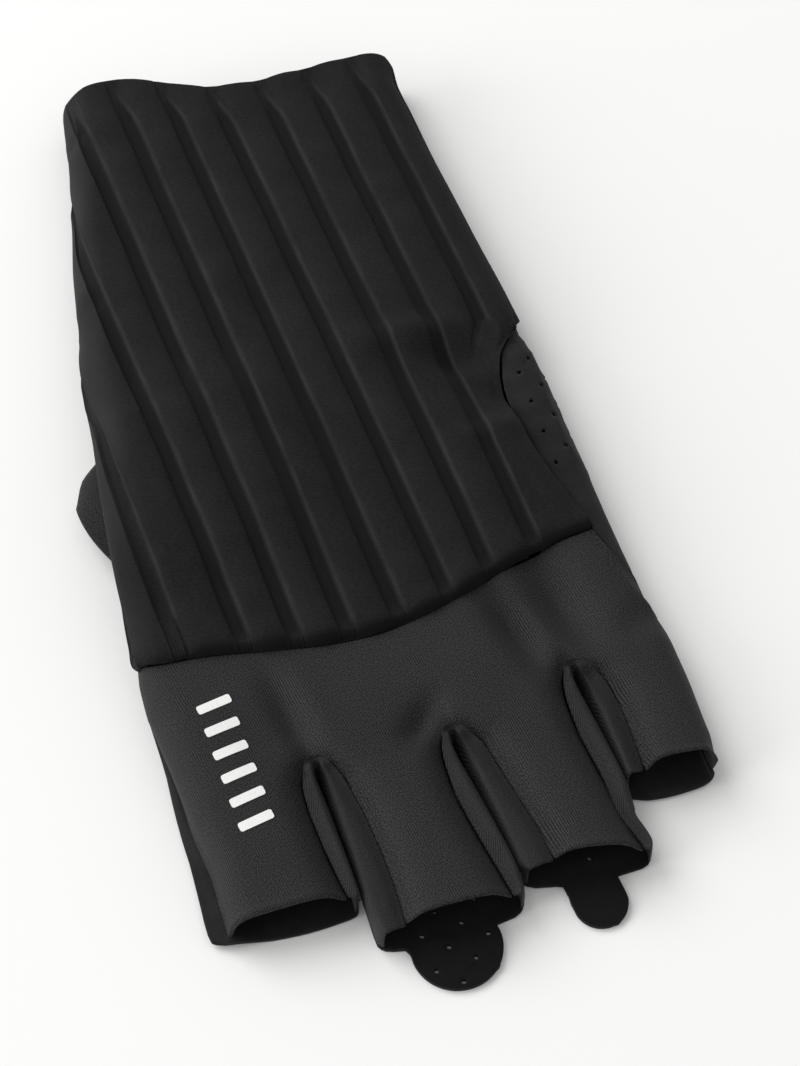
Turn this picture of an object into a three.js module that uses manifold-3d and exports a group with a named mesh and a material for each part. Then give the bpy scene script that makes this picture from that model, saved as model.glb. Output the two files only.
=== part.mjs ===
// Half-finger cycling glove for the left hand, lying flat with the back of the hand up.
// Millimetres. X runs across the hand from the index finger to the little finger,
// Y runs from the finger ends to the cuff, Z is up from the surface that the glove lies on.
// Every panel is one sheet of cloth or suede with its real thickness, sewn edge to edge to the next.

import * as THREE from 'three';
import Module from 'manifold-3d';
import { mergeVertices } from 'three/addons/utils/BufferGeometryUtils.js';

// Thickness of the materials, the gap along a seam, and how far a lower layer lies under a padded one
const paddedThickness = 2.4;
const cuffUndersideThickness = 1.8;
const knitThickness = 1.2;
const fourchetteThickness = 1.0;
const suedeThickness = 1.2;
const seamGap = 0.4;
const layerSink = 1.3;

// Ribs of the padded sleeve
const grooveDepth = 1.1;
const grooveHalfWidth = 1.7;
const grooveFloorHalfWidth = 1.1;
const ribCrown = 0.35;
const grooveFadeLength = 5;

// Rows and columns of the sleeve's sheet: five columns to a groove with its rib
const ribColumns = 5;
const cuffUndersideCells = 7;
const cuffRowShares = [0, 0.12, 0.3, 0.5, 0.7, 0.88, 0.96, 1];
const handRowYs = [94.2, 91, 86, 80, 73, 66, 58, 49];

// Cells across each finger, from index to little, and rows along the hand and the fingers
const backCells = [9, 6, 6, 8];
const palmCells = [6, 5, 5, 10];
const backRowShares = [0, 0.12, 0.32, 0.54, 0.78, 1];
const palmRowYs = [43, 37, 30, 21, 14];
const fingerRowShares = [0.05, 0.15, 0.35, 0.6, 0.82, 1.0];

// Line round the wrist where the palm meets the sleeve, and how far a fourchette's foot sits back
const hemLineY = 96.5;
const crotchSetback = 1.6;

// Outer skin of the glove body: outline from above and total height at places along the hand
const bodySections = [
  { y: -40, left: -54.4, right: 51.4, height: 10.2 },
  { y: -22, left: -54.8, right: 52.0, height: 10.3 },
  { y: 0, left: -55.0, right: 53.9, height: 10.9 },
  { y: 22, left: -55.2, right: 53.7, height: 12.0 },
  { y: 38, left: -54.6, right: 54.0, height: 13.2 },
  { y: 57, left: -52.1, right: 54.8, height: 14.0 },
  { y: 75, left: -49.3, right: 55.9, height: 14.4 },
  { y: 97, left: -45.5, right: 57.3, height: 14.4 },
  { y: 130, left: -39.6, right: 57.3, height: 14.0 },
  { y: 160, left: -32.5, right: 57.5, height: 13.5 },
  { y: 183, left: -26.6, right: 58.4, height: 13.0 },
  { y: 200, left: -22.8, right: 59.0, height: 12.5 },
];

// Cuff end and knuckle seam, as places along Y for places across
const cuffEnd = [
  { x: -62, y: 197.0 },
  { x: -22, y: 198.4 },
  { x: -15, y: 200.4 },
  { x: -9, y: 199.6 },
  { x: -3, y: 197.4 },
  { x: 6, y: 192.2 },
  { x: 16, y: 187.8 },
  { x: 30, y: 186.0 },
  { x: 46, y: 186.6 },
  { x: 56, y: 185.8 },
  { x: 62, y: 182.6 },
];
const knuckleSeam = [
  { x: -62, y: 40.5 },
  { x: -50, y: 35.6 },
  { x: -40, y: 33.8 },
  { x: -28, y: 30.6 },
  { x: -16, y: 27.6 },
  { x: -4, y: 26.2 },
  { x: 10, y: 27.8 },
  { x: 24, y: 31.4 },
  { x: 38, y: 34.4 },
  { x: 50, y: 35.2 },
];

// Side seams of the back panels against the palm, as places around the skin from the middle of the back
const sideSeams = [
  { y: -40, left: -59.4, right: 56.6 },
  { y: -22, left: -59.8, right: 57.1 },
  { y: 0, left: -60.8, right: 59.1 },
  { y: 14, left: -61.5, right: 57.6 },
  { y: 21, left: -61.8, right: 53.4 },
  { y: 30, left: -62.3, right: 49.9 },
  { y: 38, left: -62.5, right: 47.7 },
  { y: 49, left: -62.5, right: 45.3 },
  { y: 57, left: -62.5, right: 44.2 },
  { y: 64, left: -62.5, right: 43.6 },
  { y: 71, left: -62.5, right: 43.6 },
  { y: 77, left: -62.5, right: 44.3 },
  { y: 83, left: -62.5, right: 46.2 },
  { y: 88.5, left: -62.5, right: 49.4 },
  { y: 93, left: -62.5, right: 55.0 },
  { y: 96.5, left: -62.5, right: 61.9 },
];

// Where the palm's curved edge runs steeply, near the hem line, it keeps further from the sleeve;
// and the share of the turn up the little finger's side where the suede starts to sink
const steepEdge = { from: 82, full: 90, clearance: 0.7 };
const suedeSinkFrom = 0.8;

// Grooves between the ribs, as places around the skin at the cuff end and at the knuckles
const grooves = [
  { atCuff: -56.6, atKnuckles: -56.6 },
  { atCuff: -45.0, atKnuckles: -46.0 },
  { atCuff: -32.8, atKnuckles: -32.4 },
  { atCuff: -21.0, atKnuckles: -21.8 },
  { atCuff: -10.4, atKnuckles: -11.6 },
  { atCuff: 0.3, atKnuckles: -0.9 },
  { atCuff: 12.1, atKnuckles: 10.6 },
  { atCuff: 23.6, atKnuckles: 21.8 },
  { atCuff: 35.2, atKnuckles: 33.0 },
  { atCuff: 47.3, atKnuckles: 45.6 },
  { atCuff: 58.6, atKnuckles: 58.6 },
];
const cuffEndMeanY = 190;
const knuckleMeanY = 30;
const lastGrooveOnHand = 8;

// Broad dents and swells of the back: middle, reach and height
const backReliefs = [
  { x: 22, y: 101, reachX: 12, reachY: 9, rise: 1.0 },
  { x: 38, y: 85, reachX: 10, reachY: 10, rise: -2.2 },
  { x: 46, y: 98, reachX: 7, reachY: 5, rise: -0.8 },
  { x: -34, y: 9, reachX: 6, reachY: 9, rise: -1.0 },
  { x: -8, y: 3, reachX: 8, reachY: 4, rise: -1.2 },
  { x: 28, y: 20, reachX: 6, reachY: 9, rise: -1.3 },
  { x: 46, y: 17, reachX: 6, reachY: 6, rise: -0.9 },
];
const crownRise = 1.0;

// The thumb stall folded beneath the palm lifts the glove here
const thumbLift = { height: 7.2, right: -14, fadeX: 16, near: 61, far: 94, fadeY: 15, shareAbove: 0.3 };

// Crotches between the fingers: the fourchette's seams and its fold, as places across at shares of its length
const crotches = [
  {
    name: 'fourchette_index_middle', y: 3.4, leftEnd: -27.2, rightEnd: -36.4,
    rows: [
      { along: 0.0, left: -27.6, right: -26.4, fold: -27.0 },
      { along: 0.05, left: -30.0, right: -24.0, fold: -27.0 },
      { along: 0.15, left: -31.2, right: -22.2, fold: -26.8 },
      { along: 0.35, left: -31.6, right: -21.1, fold: -26.8 },
      { along: 0.6, left: -31.5, right: -20.9, fold: -27.2 },
      { along: 0.82, left: -31.2, right: -21.2, fold: -27.9 },
      { along: 1.0, left: -30.8, right: -22.0, fold: -28.4 },
    ],
  },
  {
    name: 'fourchette_middle_ring', y: 0.4, leftEnd: -38.4, rightEnd: -33.6,
    rows: [
      { along: 0.0, left: 0.8, right: 2.0, fold: 1.4 },
      { along: 0.05, left: -1.2, right: 4.8, fold: 1.6 },
      { along: 0.15, left: -2.1, right: 7.2, fold: 2.0 },
      { along: 0.35, left: -2.6, right: 8.5, fold: 3.0 },
      { along: 0.6, left: -1.8, right: 9.6, fold: 3.3 },
      { along: 0.82, left: -0.8, right: 10.5, fold: 3.3 },
      { along: 1.0, left: -0.1, right: 10.6, fold: 3.2 },
    ],
  },
  {
    name: 'fourchette_ring_little', y: 6.0, leftEnd: -38.2, rightEnd: -21.0,
    rows: [
      { along: 0.0, left: 30.0, right: 31.2, fold: 30.6 },
      { along: 0.05, left: 28.0, right: 34.0, fold: 31.0 },
      { along: 0.15, left: 26.9, right: 36.2, fold: 31.6 },
      { along: 0.35, left: 26.4, right: 37.4, fold: 32.1 },
      { along: 0.6, left: 27.0, right: 37.1, fold: 31.9 },
      { along: 0.82, left: 27.5, right: 36.5, fold: 31.5 },
      { along: 1.0, left: 28.4, right: 35.9, fold: 31.2 },
    ],
  },
];

// Share of the way from the knuckle seam to the crotches where the back panel has come up to the skin
const risenShare = 0.7;

// Places across where the lines that part the fingers start: at the knuckle seam, and at the wrist
const backBounds = [-62.5, -26, 2, 26, 48.3];
const palmBounds = [-22, 2, 26];

// Outer sides of the index and little fingers, and how far the palm side outlasts the back at the ends
const indexSide = { start: 5, end: -25.0 };
const littleSide = { start: 7, end: -24.2 };
const palmOverhangs = [1.4, 1.3, 0.9, 2.4];
const outerEdgeOverhang = 0.4;
const palmEndBulge = 1.4;

// Depth of a finger's top seams below its crown, their reach across and how soon they are full
const seamDip = 2.4;
const seamDipReach = 7;
const seamDipGrowth = 0.22;

// Fourchettes: half the gap at the fold, the soft roll, the foot's setback at the finger end, the cloth's
// thickness as a share at the crotch, how far down a leg starts to stand upright, and the levels from the
// seam (down 0) to the fold and the palm
const foldHalfGap = 0.25;
const fourchettePuff = 0.7;
const fourchetteFootReach = 1.2;
const crotchWallShare = 0.45;
const uprightFrom = 0.2;
const fourchetteLevels = [
  { down: 0, z: 4.8 },
  { down: 0.35, z: 4.8 },
  { down: 0.72, z: 4.8 },
  { down: 1, z: 4.8 },
  { down: 1, z: 3.2 },
  { down: 1, z: suedeThickness + seamGap },
];

// Suede edge that stands outside the index finger's back panel
const suedeFlare = { start: 30, full: -20, width: 3.8, reach: 10, clearance: 0.5, clearanceFull: 20 };

// Pull tabs, extensions of the palm under the middle and ring fingers
const pullTabs = [
  { x: -13.3, halfWidth: 9.3, rootY: -35, tipY: -51 },
  { x: 17.1, halfWidth: 5.6, rootY: -33, tipY: -48.6 },
];
const tabRootShare = 0.92;

// Perforation of the palm: round holes where every second place of a lattice is cut, in three fields,
// and rows of them up the little finger's side of the hand
const holeRadius = 0.75;
const holeSides = 6;
const holeCutLength = 6;
const holeLattice = { x: -14.8, y: -41.4, stepX: 4.2, stepY: 4.0 };
const holeFields = {
  handMiddle: { left: -10, right: 26, near: 42, far: 74 },
  middleFinger: { left: -20, right: -6, near: -50, far: -24 },
  ringFinger: { left: 12, right: 22, near: -34, far: -22 },
};
const sideHoleRows = [
  { around: 47.5, first: 53.0, count: 4 },
  { around: 52.6, first: 57.3, count: 4 },
  { around: 57.6, first: 53.0, count: 4 },
];
const sideHolePitch = 8.7;
const sideHoleLean = 0.08;

// Thumb stall, flattened beneath the palm: one row for each ring from the open end to the palm
const thumbRings = [
  { upperX: -51.5, upperZ: 6.7, lowerX: -51.5, lowerZ: 0, y: 77.0, halfWidth: 9.9, skew: 0.23 },
  { upperX: -48.9, upperZ: 6.8, lowerX: -48.9, lowerZ: 0, y: 78.2, halfWidth: 13.6, skew: 0.16 },
  { upperX: -45.5, upperZ: 6.8, lowerX: -44.0, lowerZ: 0, y: 79.4, halfWidth: 16.7, skew: 0.04 },
  { upperX: -42.5, upperZ: 6.8, lowerX: -36.0, lowerZ: 0, y: 78.6, halfWidth: 16.2, skew: 0 },
  { upperX: -40.6, upperZ: 6.8, lowerX: -27.0, lowerZ: 0.6, y: 77.0, halfWidth: 14.6, skew: 0 },
  { upperX: -39.6, upperZ: 6.8, lowerX: -21.6, lowerZ: 3.4, y: 77.0, halfWidth: 14.0, skew: 0 },
  { upperX: -39.2, upperZ: 6.6, lowerX: -19.6, lowerZ: 6.6, y: 77.0, halfWidth: 13.6, skew: 0 },
];
const thumbPointsAround = 16;
const thumbFlatness = { rise: 0.62, sideways: 0.9 };
const thumbHole = { x: -29.4, y: 77, halfX: 8.4, halfY: 12.2, segments: 24, cutLength: 6 };

const mergeDistance = 1e-4;

const wasm = await Module();
wasm.setup();

function mix(a, b, share) {
  return a + (b - a) * share;
}

function smoothStep(from, to, value) {
  const share = Math.min(1, Math.max(0, (value - from) / (to - from)));
  return share * share * (3 - 2 * share);
}

// Value of one column of a table between its rows, on a smooth curve through them.
function readTable(table, key, column, at) {
  const last = table.length - 1;
  if (at <= table[0][key]) return table[0][column];
  if (at >= table[last][key]) return table[last][column];
  let row = 0;
  while (at > table[row + 1][key]) row += 1;
  const before = table[Math.max(row - 1, 0)];
  const from = table[row];
  const to = table[row + 1];
  const after = table[Math.min(row + 2, last)];
  const span = to[key] - from[key];
  const share = (at - from[key]) / span;
  const slopeFrom = (to[column] - before[column]) / (to[key] - before[key]) * span;
  const slopeTo = (after[column] - from[column]) / (after[key] - from[key]) * span;
  const s2 = share * share;
  const s3 = s2 * share;
  return (2 * s3 - 3 * s2 + 1) * from[column] + (s3 - 2 * s2 + share) * slopeFrom
    + (3 * s2 - 2 * s3) * to[column] + (s3 - s2) * slopeTo;
}

function sideSeam(side, y) {
  return readTable(sideSeams, 'y', side, y);
}

// How much a point of the skin is raised: share is 0 at the underside and 1 on the back.
function relief(x, y, share, section) {
  const overThumb = (1 - smoothStep(thumbLift.right, thumbLift.right + thumbLift.fadeX, x))
    * smoothStep(thumbLift.near - thumbLift.fadeY, thumbLift.near, y)
    * (1 - smoothStep(thumbLift.far, thumbLift.far + thumbLift.fadeY, y));
  const lift = thumbLift.height * overThumb * mix(1, thumbLift.shareAbove, share);
  const middle = (section.left + section.right) / 2;
  const offMiddle = (x - middle) / (section.right - section.left) * 2;
  let back = crownRise * (1 - offMiddle * offMiddle);
  for (const spot of backReliefs) {
    const dx = (x - spot.x) / spot.reachX;
    const dy = (y - spot.y) / spot.reachY;
    back += spot.rise * Math.exp(-dx * dx - dy * dy);
  }
  return lift + back * share * share;
}

// The body's section is flat above and below, with half-round sides.
function sectionAt(y) {
  const left = readTable(bodySections, 'y', 'left', y);
  const right = readTable(bodySections, 'y', 'right', y);
  const height = readTable(bodySections, 'y', 'height', y);
  const radius = height / 2;
  const flatLeft = left + radius;
  const flatRight = right - radius;
  const around = 2 * (flatRight - flatLeft) + 2 * Math.PI * radius;
  return { left, right, height, radius, flatLeft, flatRight, around };
}

// A point of the body: 'around' runs along the skin from the middle of the back, to the right when
// positive, and on round the side and under the palm; 'depth' is how far below the skin it lies.
function skin(y, around, depth) {
  const section = sectionAt(y);
  let place = around;
  if (place < section.flatLeft - Math.PI * section.radius - (section.flatRight - section.flatLeft)) {
    place += section.around;
  }
  const side = place > 0 ? 1 : -1;
  const flat = side > 0 ? section.flatRight : -section.flatLeft;
  const beyond = Math.abs(place) - flat;
  const turn = Math.min(Math.max(beyond / section.radius, 0), Math.PI);
  const outX = Math.sin(turn);
  const outZ = Math.cos(turn);
  const onTop = Math.min(Math.abs(place), flat);
  const onFloor = Math.max(0, beyond - Math.PI * section.radius);
  const skinX = side * (onTop + section.radius * outX - onFloor);
  const skinZ = section.radius * (1 + outZ);
  const rise = relief(skinX, y, skinZ / section.height, section);
  return new THREE.Vector3(skinX - side * outX * depth, y, Math.max(0, skinZ - outZ * depth) + rise);
}

// The place around the skin of a point on the floor side at x.
function floorPlace(y, x) {
  const section = sectionAt(y);
  return section.flatLeft - Math.PI * section.radius - (x - section.flatLeft);
}

// Turns the triangles so that all faces point out.
function faceOutwards(positions, index) {
  let volume = 0;
  const corners = [new THREE.Vector3(), new THREE.Vector3(), new THREE.Vector3()];
  for (let i = 0; i < index.length; i += 3) {
    corners.forEach((corner, k) => corner.fromArray(positions, index[i + k] * 3));
    volume += corners[0].dot(corners[1].clone().cross(corners[2]));
  }
  if (volume < 0) {
    for (let i = 0; i < index.length; i += 3) [index[i], index[i + 1]] = [index[i + 1], index[i]];
  }
  const geometry = new THREE.BufferGeometry();
  geometry.setAttribute('position', new THREE.Float32BufferAttribute(positions, 3));
  geometry.setIndex(index);
  return geometry;
}

// A closed solid from a sheet of quads: outer and inner give a vertex on each face of the cloth.
function sheetSolid(vertices, quads) {
  const count = vertices.length;
  const positions = [];
  for (const vertex of vertices) positions.push(...vertex.outer.toArray());
  for (const vertex of vertices) positions.push(...vertex.inner.toArray());
  const index = [];
  const borderEdges = new Map();
  for (const [a, b, c, d] of quads) {
    index.push(a, b, c, a, c, d);
    index.push(a + count, c + count, b + count, a + count, d + count, c + count);
    for (const [from, to] of [[a, b], [b, c], [c, d], [d, a]]) {
      const twin = `${to},${from}`;
      if (borderEdges.has(twin)) borderEdges.delete(twin);
      else borderEdges.set(`${from},${to}`, [from, to]);
    }
  }
  for (const [from, to] of borderEdges.values()) {
    index.push(to, from, from + count, to, from + count, to + count);
  }
  return faceOutwards(positions, index);
}

// A sheet collects vertices by key, so that neighbouring quads share them.
class Sheet {
  constructor() {
    this.vertices = [];
    this.quads = [];
    this.places = new Map();
  }

  at(key, makeVertex) {
    if (!this.places.has(key)) {
      this.places.set(key, this.vertices.length);
      this.vertices.push(makeVertex());
    }
    return this.places.get(key);
  }

  // One cell of a grid whose corners are given by row and column; flipped where the rows run back.
  addQuad(corner, row, column, flipped = false) {
    const [a, b] = [corner(row, column), corner(row, column + 1)];
    const [d, c] = [corner(row + 1, column), corner(row + 1, column + 1)];
    this.quads.push(flipped ? [a, d, c, b] : [a, b, c, d]);
  }

  // A hand that parts into four fingers: neighbours share the hand's columns where they meet, and each
  // finger's own rows hang on the hand's last row.
  addHandAndFingers(cells, handRows, handVertex, fingerVertex, flipped) {
    cells.forEach((count, finger) => {
      const handCorner = (row, column) => {
        const shared = column === 0 && finger > 0;
        const owner = shared ? `${finger - 1} ${cells[finger - 1]}` : `${finger} ${column}`;
        return this.at(`hand ${row} ${owner}`, () => handVertex(finger, column, row));
      };
      const fingerCorner = (row, column) => (row < 0 ? handCorner(handRows, column)
        : this.at(`finger ${finger} ${row} ${column}`,
          () => fingerVertex(finger, column, fingerRowShares[row])));
      for (let column = 0; column < count; column += 1) {
        for (let row = 0; row < handRows; row += 1) this.addQuad(handCorner, row, column, flipped);
        for (let row = -1; row < fingerRowShares.length - 1; row += 1) {
          this.addQuad(fingerCorner, row, column, flipped);
        }
      }
    });
  }

  solid() {
    return sheetSolid(this.vertices, this.quads);
  }
}

// The sleeve's columns: four along each groove and one along the crown of each rib.
function sleeveColumns() {
  const leftSeam = sideSeams[sideSeams.length - 1].left;
  const columns = [{ atCuff: leftSeam, atKnuckles: leftSeam, depth: 0 }];
  const profile = [
    { offset: -grooveHalfWidth, depth: 0 },
    { offset: -grooveFloorHalfWidth, depth: grooveDepth },
    { offset: grooveFloorHalfWidth, depth: grooveDepth },
    { offset: grooveHalfWidth, depth: 0 },
  ];
  grooves.forEach((groove, k) => {
    for (const { offset, depth } of profile) {
      columns.push({ atCuff: groove.atCuff + offset, atKnuckles: groove.atKnuckles + offset, depth });
    }
    const next = grooves[k + 1];
    if (next === undefined) return;
    columns.push({
      atCuff: (groove.atCuff + next.atCuff) / 2,
      atKnuckles: (groove.atKnuckles + next.atKnuckles) / 2,
      depth: -ribCrown,
    });
  });
  return columns;
}

// Ribbed padded sleeve: a tube round the wrist that runs on over the back of the hand to the knuckles.
function ribbedSleeve() {
  const sheet = new Sheet();
  const columns = sleeveColumns();
  const lastColumn = columns.length - 1;
  const keptColumn = lastGrooveOnHand * ribColumns + ribColumns - 1;

  function columnPlace(column, y) {
    const share = (cuffEndMeanY - y) / (cuffEndMeanY - knuckleMeanY);
    return mix(columns[column].atCuff, columns[column].atKnuckles, share);
  }

  // The tube: its underside is plain and closes the loop behind the last column.
  function cuffVertex(row, column) {
    const underShare = Math.max(0, (column - lastColumn) / (cuffUndersideCells + 1));
    const onBack = underShare === 0;
    const endY = onBack ? readTable(cuffEnd, 'x', 'y', columns[column].atCuff)
      : mix(cuffEnd[cuffEnd.length - 1].y, cuffEnd[0].y, underShare);
    const y = mix(hemLineY, endY, cuffRowShares[row]);
    const around = sectionAt(y).around;
    let place = onBack ? columnPlace(column, y)
      : mix(columnPlace(lastColumn, y), around + columnPlace(0, y), underShare);
    if (place > around / 2) place -= around;
    const fade = 1 - smoothStep(endY - grooveFadeLength, endY - 1, y);
    const depth = onBack ? columns[column].depth * fade : 0;
    const wall = onBack ? paddedThickness : cuffUndersideThickness;
    return { outer: skin(y, place, depth), inner: skin(y, place, wall) };
  }

  // The part over the hand: right of the last whole groove its columns close up to the curved edge,
  // and their grooves are gone where they have closed up by half.
  function handVertex(row, column) {
    const y = row < handRowYs.length ? handRowYs[row]
      : readTable(knuckleSeam, 'x', 'y', columns[column].atKnuckles);
    let place = columnPlace(column, y);
    let { depth } = columns[column];
    if (column > keptColumn) {
      const kept = columnPlace(keptColumn, y);
      const squeeze = (sideSeam('right', y) - kept) / (columnPlace(lastColumn, y) - kept);
      place = kept + (place - kept) * squeeze;
      depth *= Math.max(0, 2 * squeeze - 1);
    }
    return { outer: skin(y, place, depth), inner: skin(y, place, paddedThickness) };
  }

  const columnsAround = columns.length + cuffUndersideCells;
  const cuffCorner = (row, column) => sheet.at(`cuff ${row} ${column % columnsAround}`,
    () => cuffVertex(row, column % columnsAround));
  const handCorner = (row, column) => (row < 0 ? cuffCorner(0, column)
    : sheet.at(`hand ${row} ${column}`, () => handVertex(row, column)));
  for (let row = 0; row < cuffRowShares.length - 1; row += 1) {
    for (let column = 0; column < columnsAround; column += 1) {
      sheet.addQuad(cuffCorner, row, column);
    }
  }
  for (let row = -1; row < handRowYs.length; row += 1) {
    for (let column = 0; column < lastColumn; column += 1) {
      sheet.addQuad(handCorner, row, column, true);
    }
  }
  return sheet.solid();
}

// Y of a finger's left or right boundary at a share of its length; overhang is what the palm side adds.
function fingerBoundY(finger, side, share, overhang) {
  const crotch = crotches[side === 'left' ? finger - 1 : finger];
  if (crotch === undefined) {
    const outer = finger === 0 ? indexSide : littleSide;
    return mix(outer.start, outer.end - (overhang > 0 ? outerEdgeOverhang : 0), share);
  }
  const end = side === 'left' ? crotch.rightEnd : crotch.leftEnd;
  return mix(crotch.y, end - overhang, share);
}

// Smooth knit panel over the knuckles and the backs of the four fingers.
function knucklePanel() {
  const sheet = new Sheet();
  const lastFinger = backCells.length - 1;

  function boundary(finger, side, share) {
    const crotch = crotches[side === 'left' ? finger - 1 : finger];
    const y = fingerBoundY(finger, side, share, 0);
    if (crotch === undefined) return { y, place: sideSeam(side, y) };
    const seam = side === 'left' ? 'right' : 'left';
    const clearance = side === 'left' ? seamGap / 2 : -seamGap / 2;
    return { y, place: readTable(crotch.rows, 'along', seam, share) + clearance };
  }

  // Sinks the cloth towards the seams that run along each finger.
  function dipAt(finger, place, left, right, share) {
    let dip = 0;
    if (finger > 0) dip += Math.max(0, 1 - (place - left.place) / seamDipReach) ** 2;
    if (finger < lastFinger) dip += Math.max(0, 1 - (right.place - place) / seamDipReach) ** 2;
    return dip * smoothStep(0, seamDipGrowth, share) * seamDip;
  }

  function fingerVertex(finger, column, share) {
    const left = boundary(finger, 'left', share);
    const right = boundary(finger, 'right', share);
    const across = column / backCells[finger];
    const place = mix(left.place, right.place, across);
    const y = mix(left.y, right.y, across);
    const outer = skin(y, place, 0);
    const inner = skin(y, place, knitThickness);
    const dip = dipAt(finger, place, left, right, share);
    outer.z -= dip;
    inner.z -= dip;
    return { outer, inner };
  }

  // Over the knuckles the panel starts beneath the sleeve's padded edge and comes up to the skin.
  function handVertex(finger, column, row) {
    const share = backRowShares[row];
    const across = column / backCells[finger];
    const left = boundary(finger, 'left', 0);
    const right = boundary(finger, 'right', 0);
    if (finger > 0) left.place = crotches[finger - 1].rows[0].fold;
    if (finger < lastFinger) right.place = crotches[finger].rows[0].fold;
    const seamPlace = mix(backBounds[finger], backBounds[finger + 1], across);
    const seamY = readTable(knuckleSeam, 'x', 'y', seamPlace) - seamGap;
    const y = mix(seamY, mix(left.y, right.y, across), share);
    let place = mix(seamPlace, mix(left.place, right.place, across), share);
    if (finger === 0 && column === 0) place = sideSeam('left', y);
    if (finger === lastFinger && column === backCells[finger]) place = sideSeam('right', y);
    const sink = layerSink * (1 - smoothStep(0, risenShare, share));
    return { outer: skin(y, place, sink), inner: skin(y, place, sink + knitThickness) };
  }

  sheet.addHandAndFingers(backCells, backRowShares.length - 1, handVertex, fingerVertex, true);
  return sheet.solid();
}

// Fourchette: one strip of knit folded round a crotch, the side walls of two neighbouring fingers.
// Each leg comes down from its seam with the back in a soft roll, meets the other leg at the fold,
// and stands on the palm from there.
function fourchette(crotch) {
  const sheet = new Sheet();
  const shares = crotch.rows.map((row) => row.along);

  function vertex(leg, row, level) {
    const share = shares[row];
    const atCrotch = row === 0;
    const outwards = leg === 'left' ? -1 : 1;
    const end = leg === 'left' ? crotch.leftEnd : crotch.rightEnd;
    const growth = smoothStep(0, seamDipGrowth, share);
    const seamPlace = crotch.rows[row][leg] - outwards * seamGap / 2;
    const seamY = mix(crotch.y - seamGap, end, share);
    const top = skin(seamY, seamPlace, 0);
    top.z -= seamDip * growth;
    const foldX = crotch.rows[row].fold + outwards * foldHalfGap;
    const foldY = mix(crotch.y - crotchSetback, end - fourchetteFootReach, share);
    const { down, z } = fourchetteLevels[level];
    const outer = top.lerp(new THREE.Vector3(foldX, foldY, z), down);
    outer.z += fourchettePuff * growth * Math.sin(Math.PI * down);
    const inner = outer.clone();
    const upright = smoothStep(uprightFrom, 1, down);
    inner.z -= fourchetteThickness * (1 - upright);
    if (atCrotch) inner.y += fourchetteThickness * upright;
    inner.x += outwards * fourchetteThickness * upright * (atCrotch ? crotchWallShare : 1);
    return { outer, inner };
  }

  const steps = [];
  for (let row = shares.length - 1; row >= 0; row -= 1) steps.push(['left', row]);
  for (let row = 0; row < shares.length; row += 1) steps.push(['right', row]);
  const corner = (step, level) => sheet.at(`${step} ${level}`, () => vertex(...steps[step], level));
  for (let step = 0; step < steps.length - 1; step += 1) {
    for (let level = 0; level < fourchetteLevels.length - 1; level += 1) {
      sheet.addQuad(corner, step, level);
    }
  }
  return sheet.solid();
}

// Suede palm as one sheet: under the hand and fingers, and wrapped up the outer sides.
function palmSheet() {
  const sheet = new Sheet();
  const rowYs = [hemLineY - seamGap, ...handRowYs, ...palmRowYs];
  const lastFinger = palmCells.length - 1;

  // The suede stands outside the back panel along the index finger.
  function flared(point, y) {
    const width = smoothStep(suedeFlare.start, suedeFlare.full, y) * suedeFlare.width;
    const edge = sectionAt(y).left;
    point.x -= width * smoothStep(edge + suedeFlare.reach, edge, point.x);
    return point;
  }

  function leftBorder(y) {
    const clearance = suedeFlare.clearance * smoothStep(suedeFlare.start, suedeFlare.clearanceFull, y);
    return sideSeam('left', y) - seamGap - clearance;
  }

  function rightBorder(y) {
    return sideSeam('right', y) + seamGap + steepEdge.clearance * smoothStep(steepEdge.from, steepEdge.full, y);
  }

  // Up the little finger's side the suede sinks beneath the sleeve's padded edge.
  function vertexAt(y, place) {
    const section = sectionAt(y);
    const onRightSide = place < floorPlace(y, section.flatRight);
    const sinkFrom = section.flatRight + Math.PI * section.radius * suedeSinkFrom;
    const depth = onRightSide ? layerSink * smoothStep(sinkFrom, rightBorder(y), place + section.around) : 0;
    return {
      outer: flared(skin(y, place, depth), y),
      inner: flared(skin(y, place, depth + suedeThickness), y),
    };
  }

  // Y of the palm's boundaries between the fingers where the fingers start.
  function crotchRowY(bound) {
    if (bound === 0) return indexSide.start;
    if (bound > lastFinger) return littleSide.start;
    return crotches[bound - 1].y - crotchSetback;
  }

  function handVertex(finger, column, row) {
    const across = column / palmCells[finger];
    const atCrotch = row === rowYs.length;
    const y = atCrotch ? mix(crotchRowY(finger), crotchRowY(finger + 1), across) : rowYs[row];
    const towardsCrotch = smoothStep(hemLineY, 0, y);
    const boundPlace = (bound) => {
      if (bound === 0) return leftBorder(y);
      if (bound > lastFinger) return rightBorder(y) - sectionAt(y).around;
      const fold = crotches[bound - 1].rows[0].fold;
      return floorPlace(y, mix(palmBounds[bound - 1], fold, towardsCrotch));
    };
    return vertexAt(y, mix(boundPlace(finger), boundPlace(finger + 1), across));
  }

  function fingerVertex(finger, column, share) {
    const across = column / palmCells[finger];
    const leftY = fingerBoundY(finger, 'left', share, palmOverhangs[finger]);
    const rightY = fingerBoundY(finger, 'right', share, palmOverhangs[finger]);
    const y = mix(leftY, rightY, across) - Math.sin(Math.PI * across) * palmEndBulge * share;
    const foldPlace = (crotch, clearance) => {
      const fold = readTable(crotch.rows, 'along', 'fold', share);
      return floorPlace(y, fold + clearance);
    };
    const leftPlace = finger === 0 ? leftBorder(y) : foldPlace(crotches[finger - 1], foldHalfGap);
    const rightPlace = finger === lastFinger ? rightBorder(y) - sectionAt(y).around
      : foldPlace(crotches[finger], -foldHalfGap);
    return vertexAt(y, mix(leftPlace, rightPlace, across));
  }

  sheet.addHandAndFingers(palmCells, rowYs.length, handVertex, fingerVertex, false);
  return sheet.solid();
}

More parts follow.
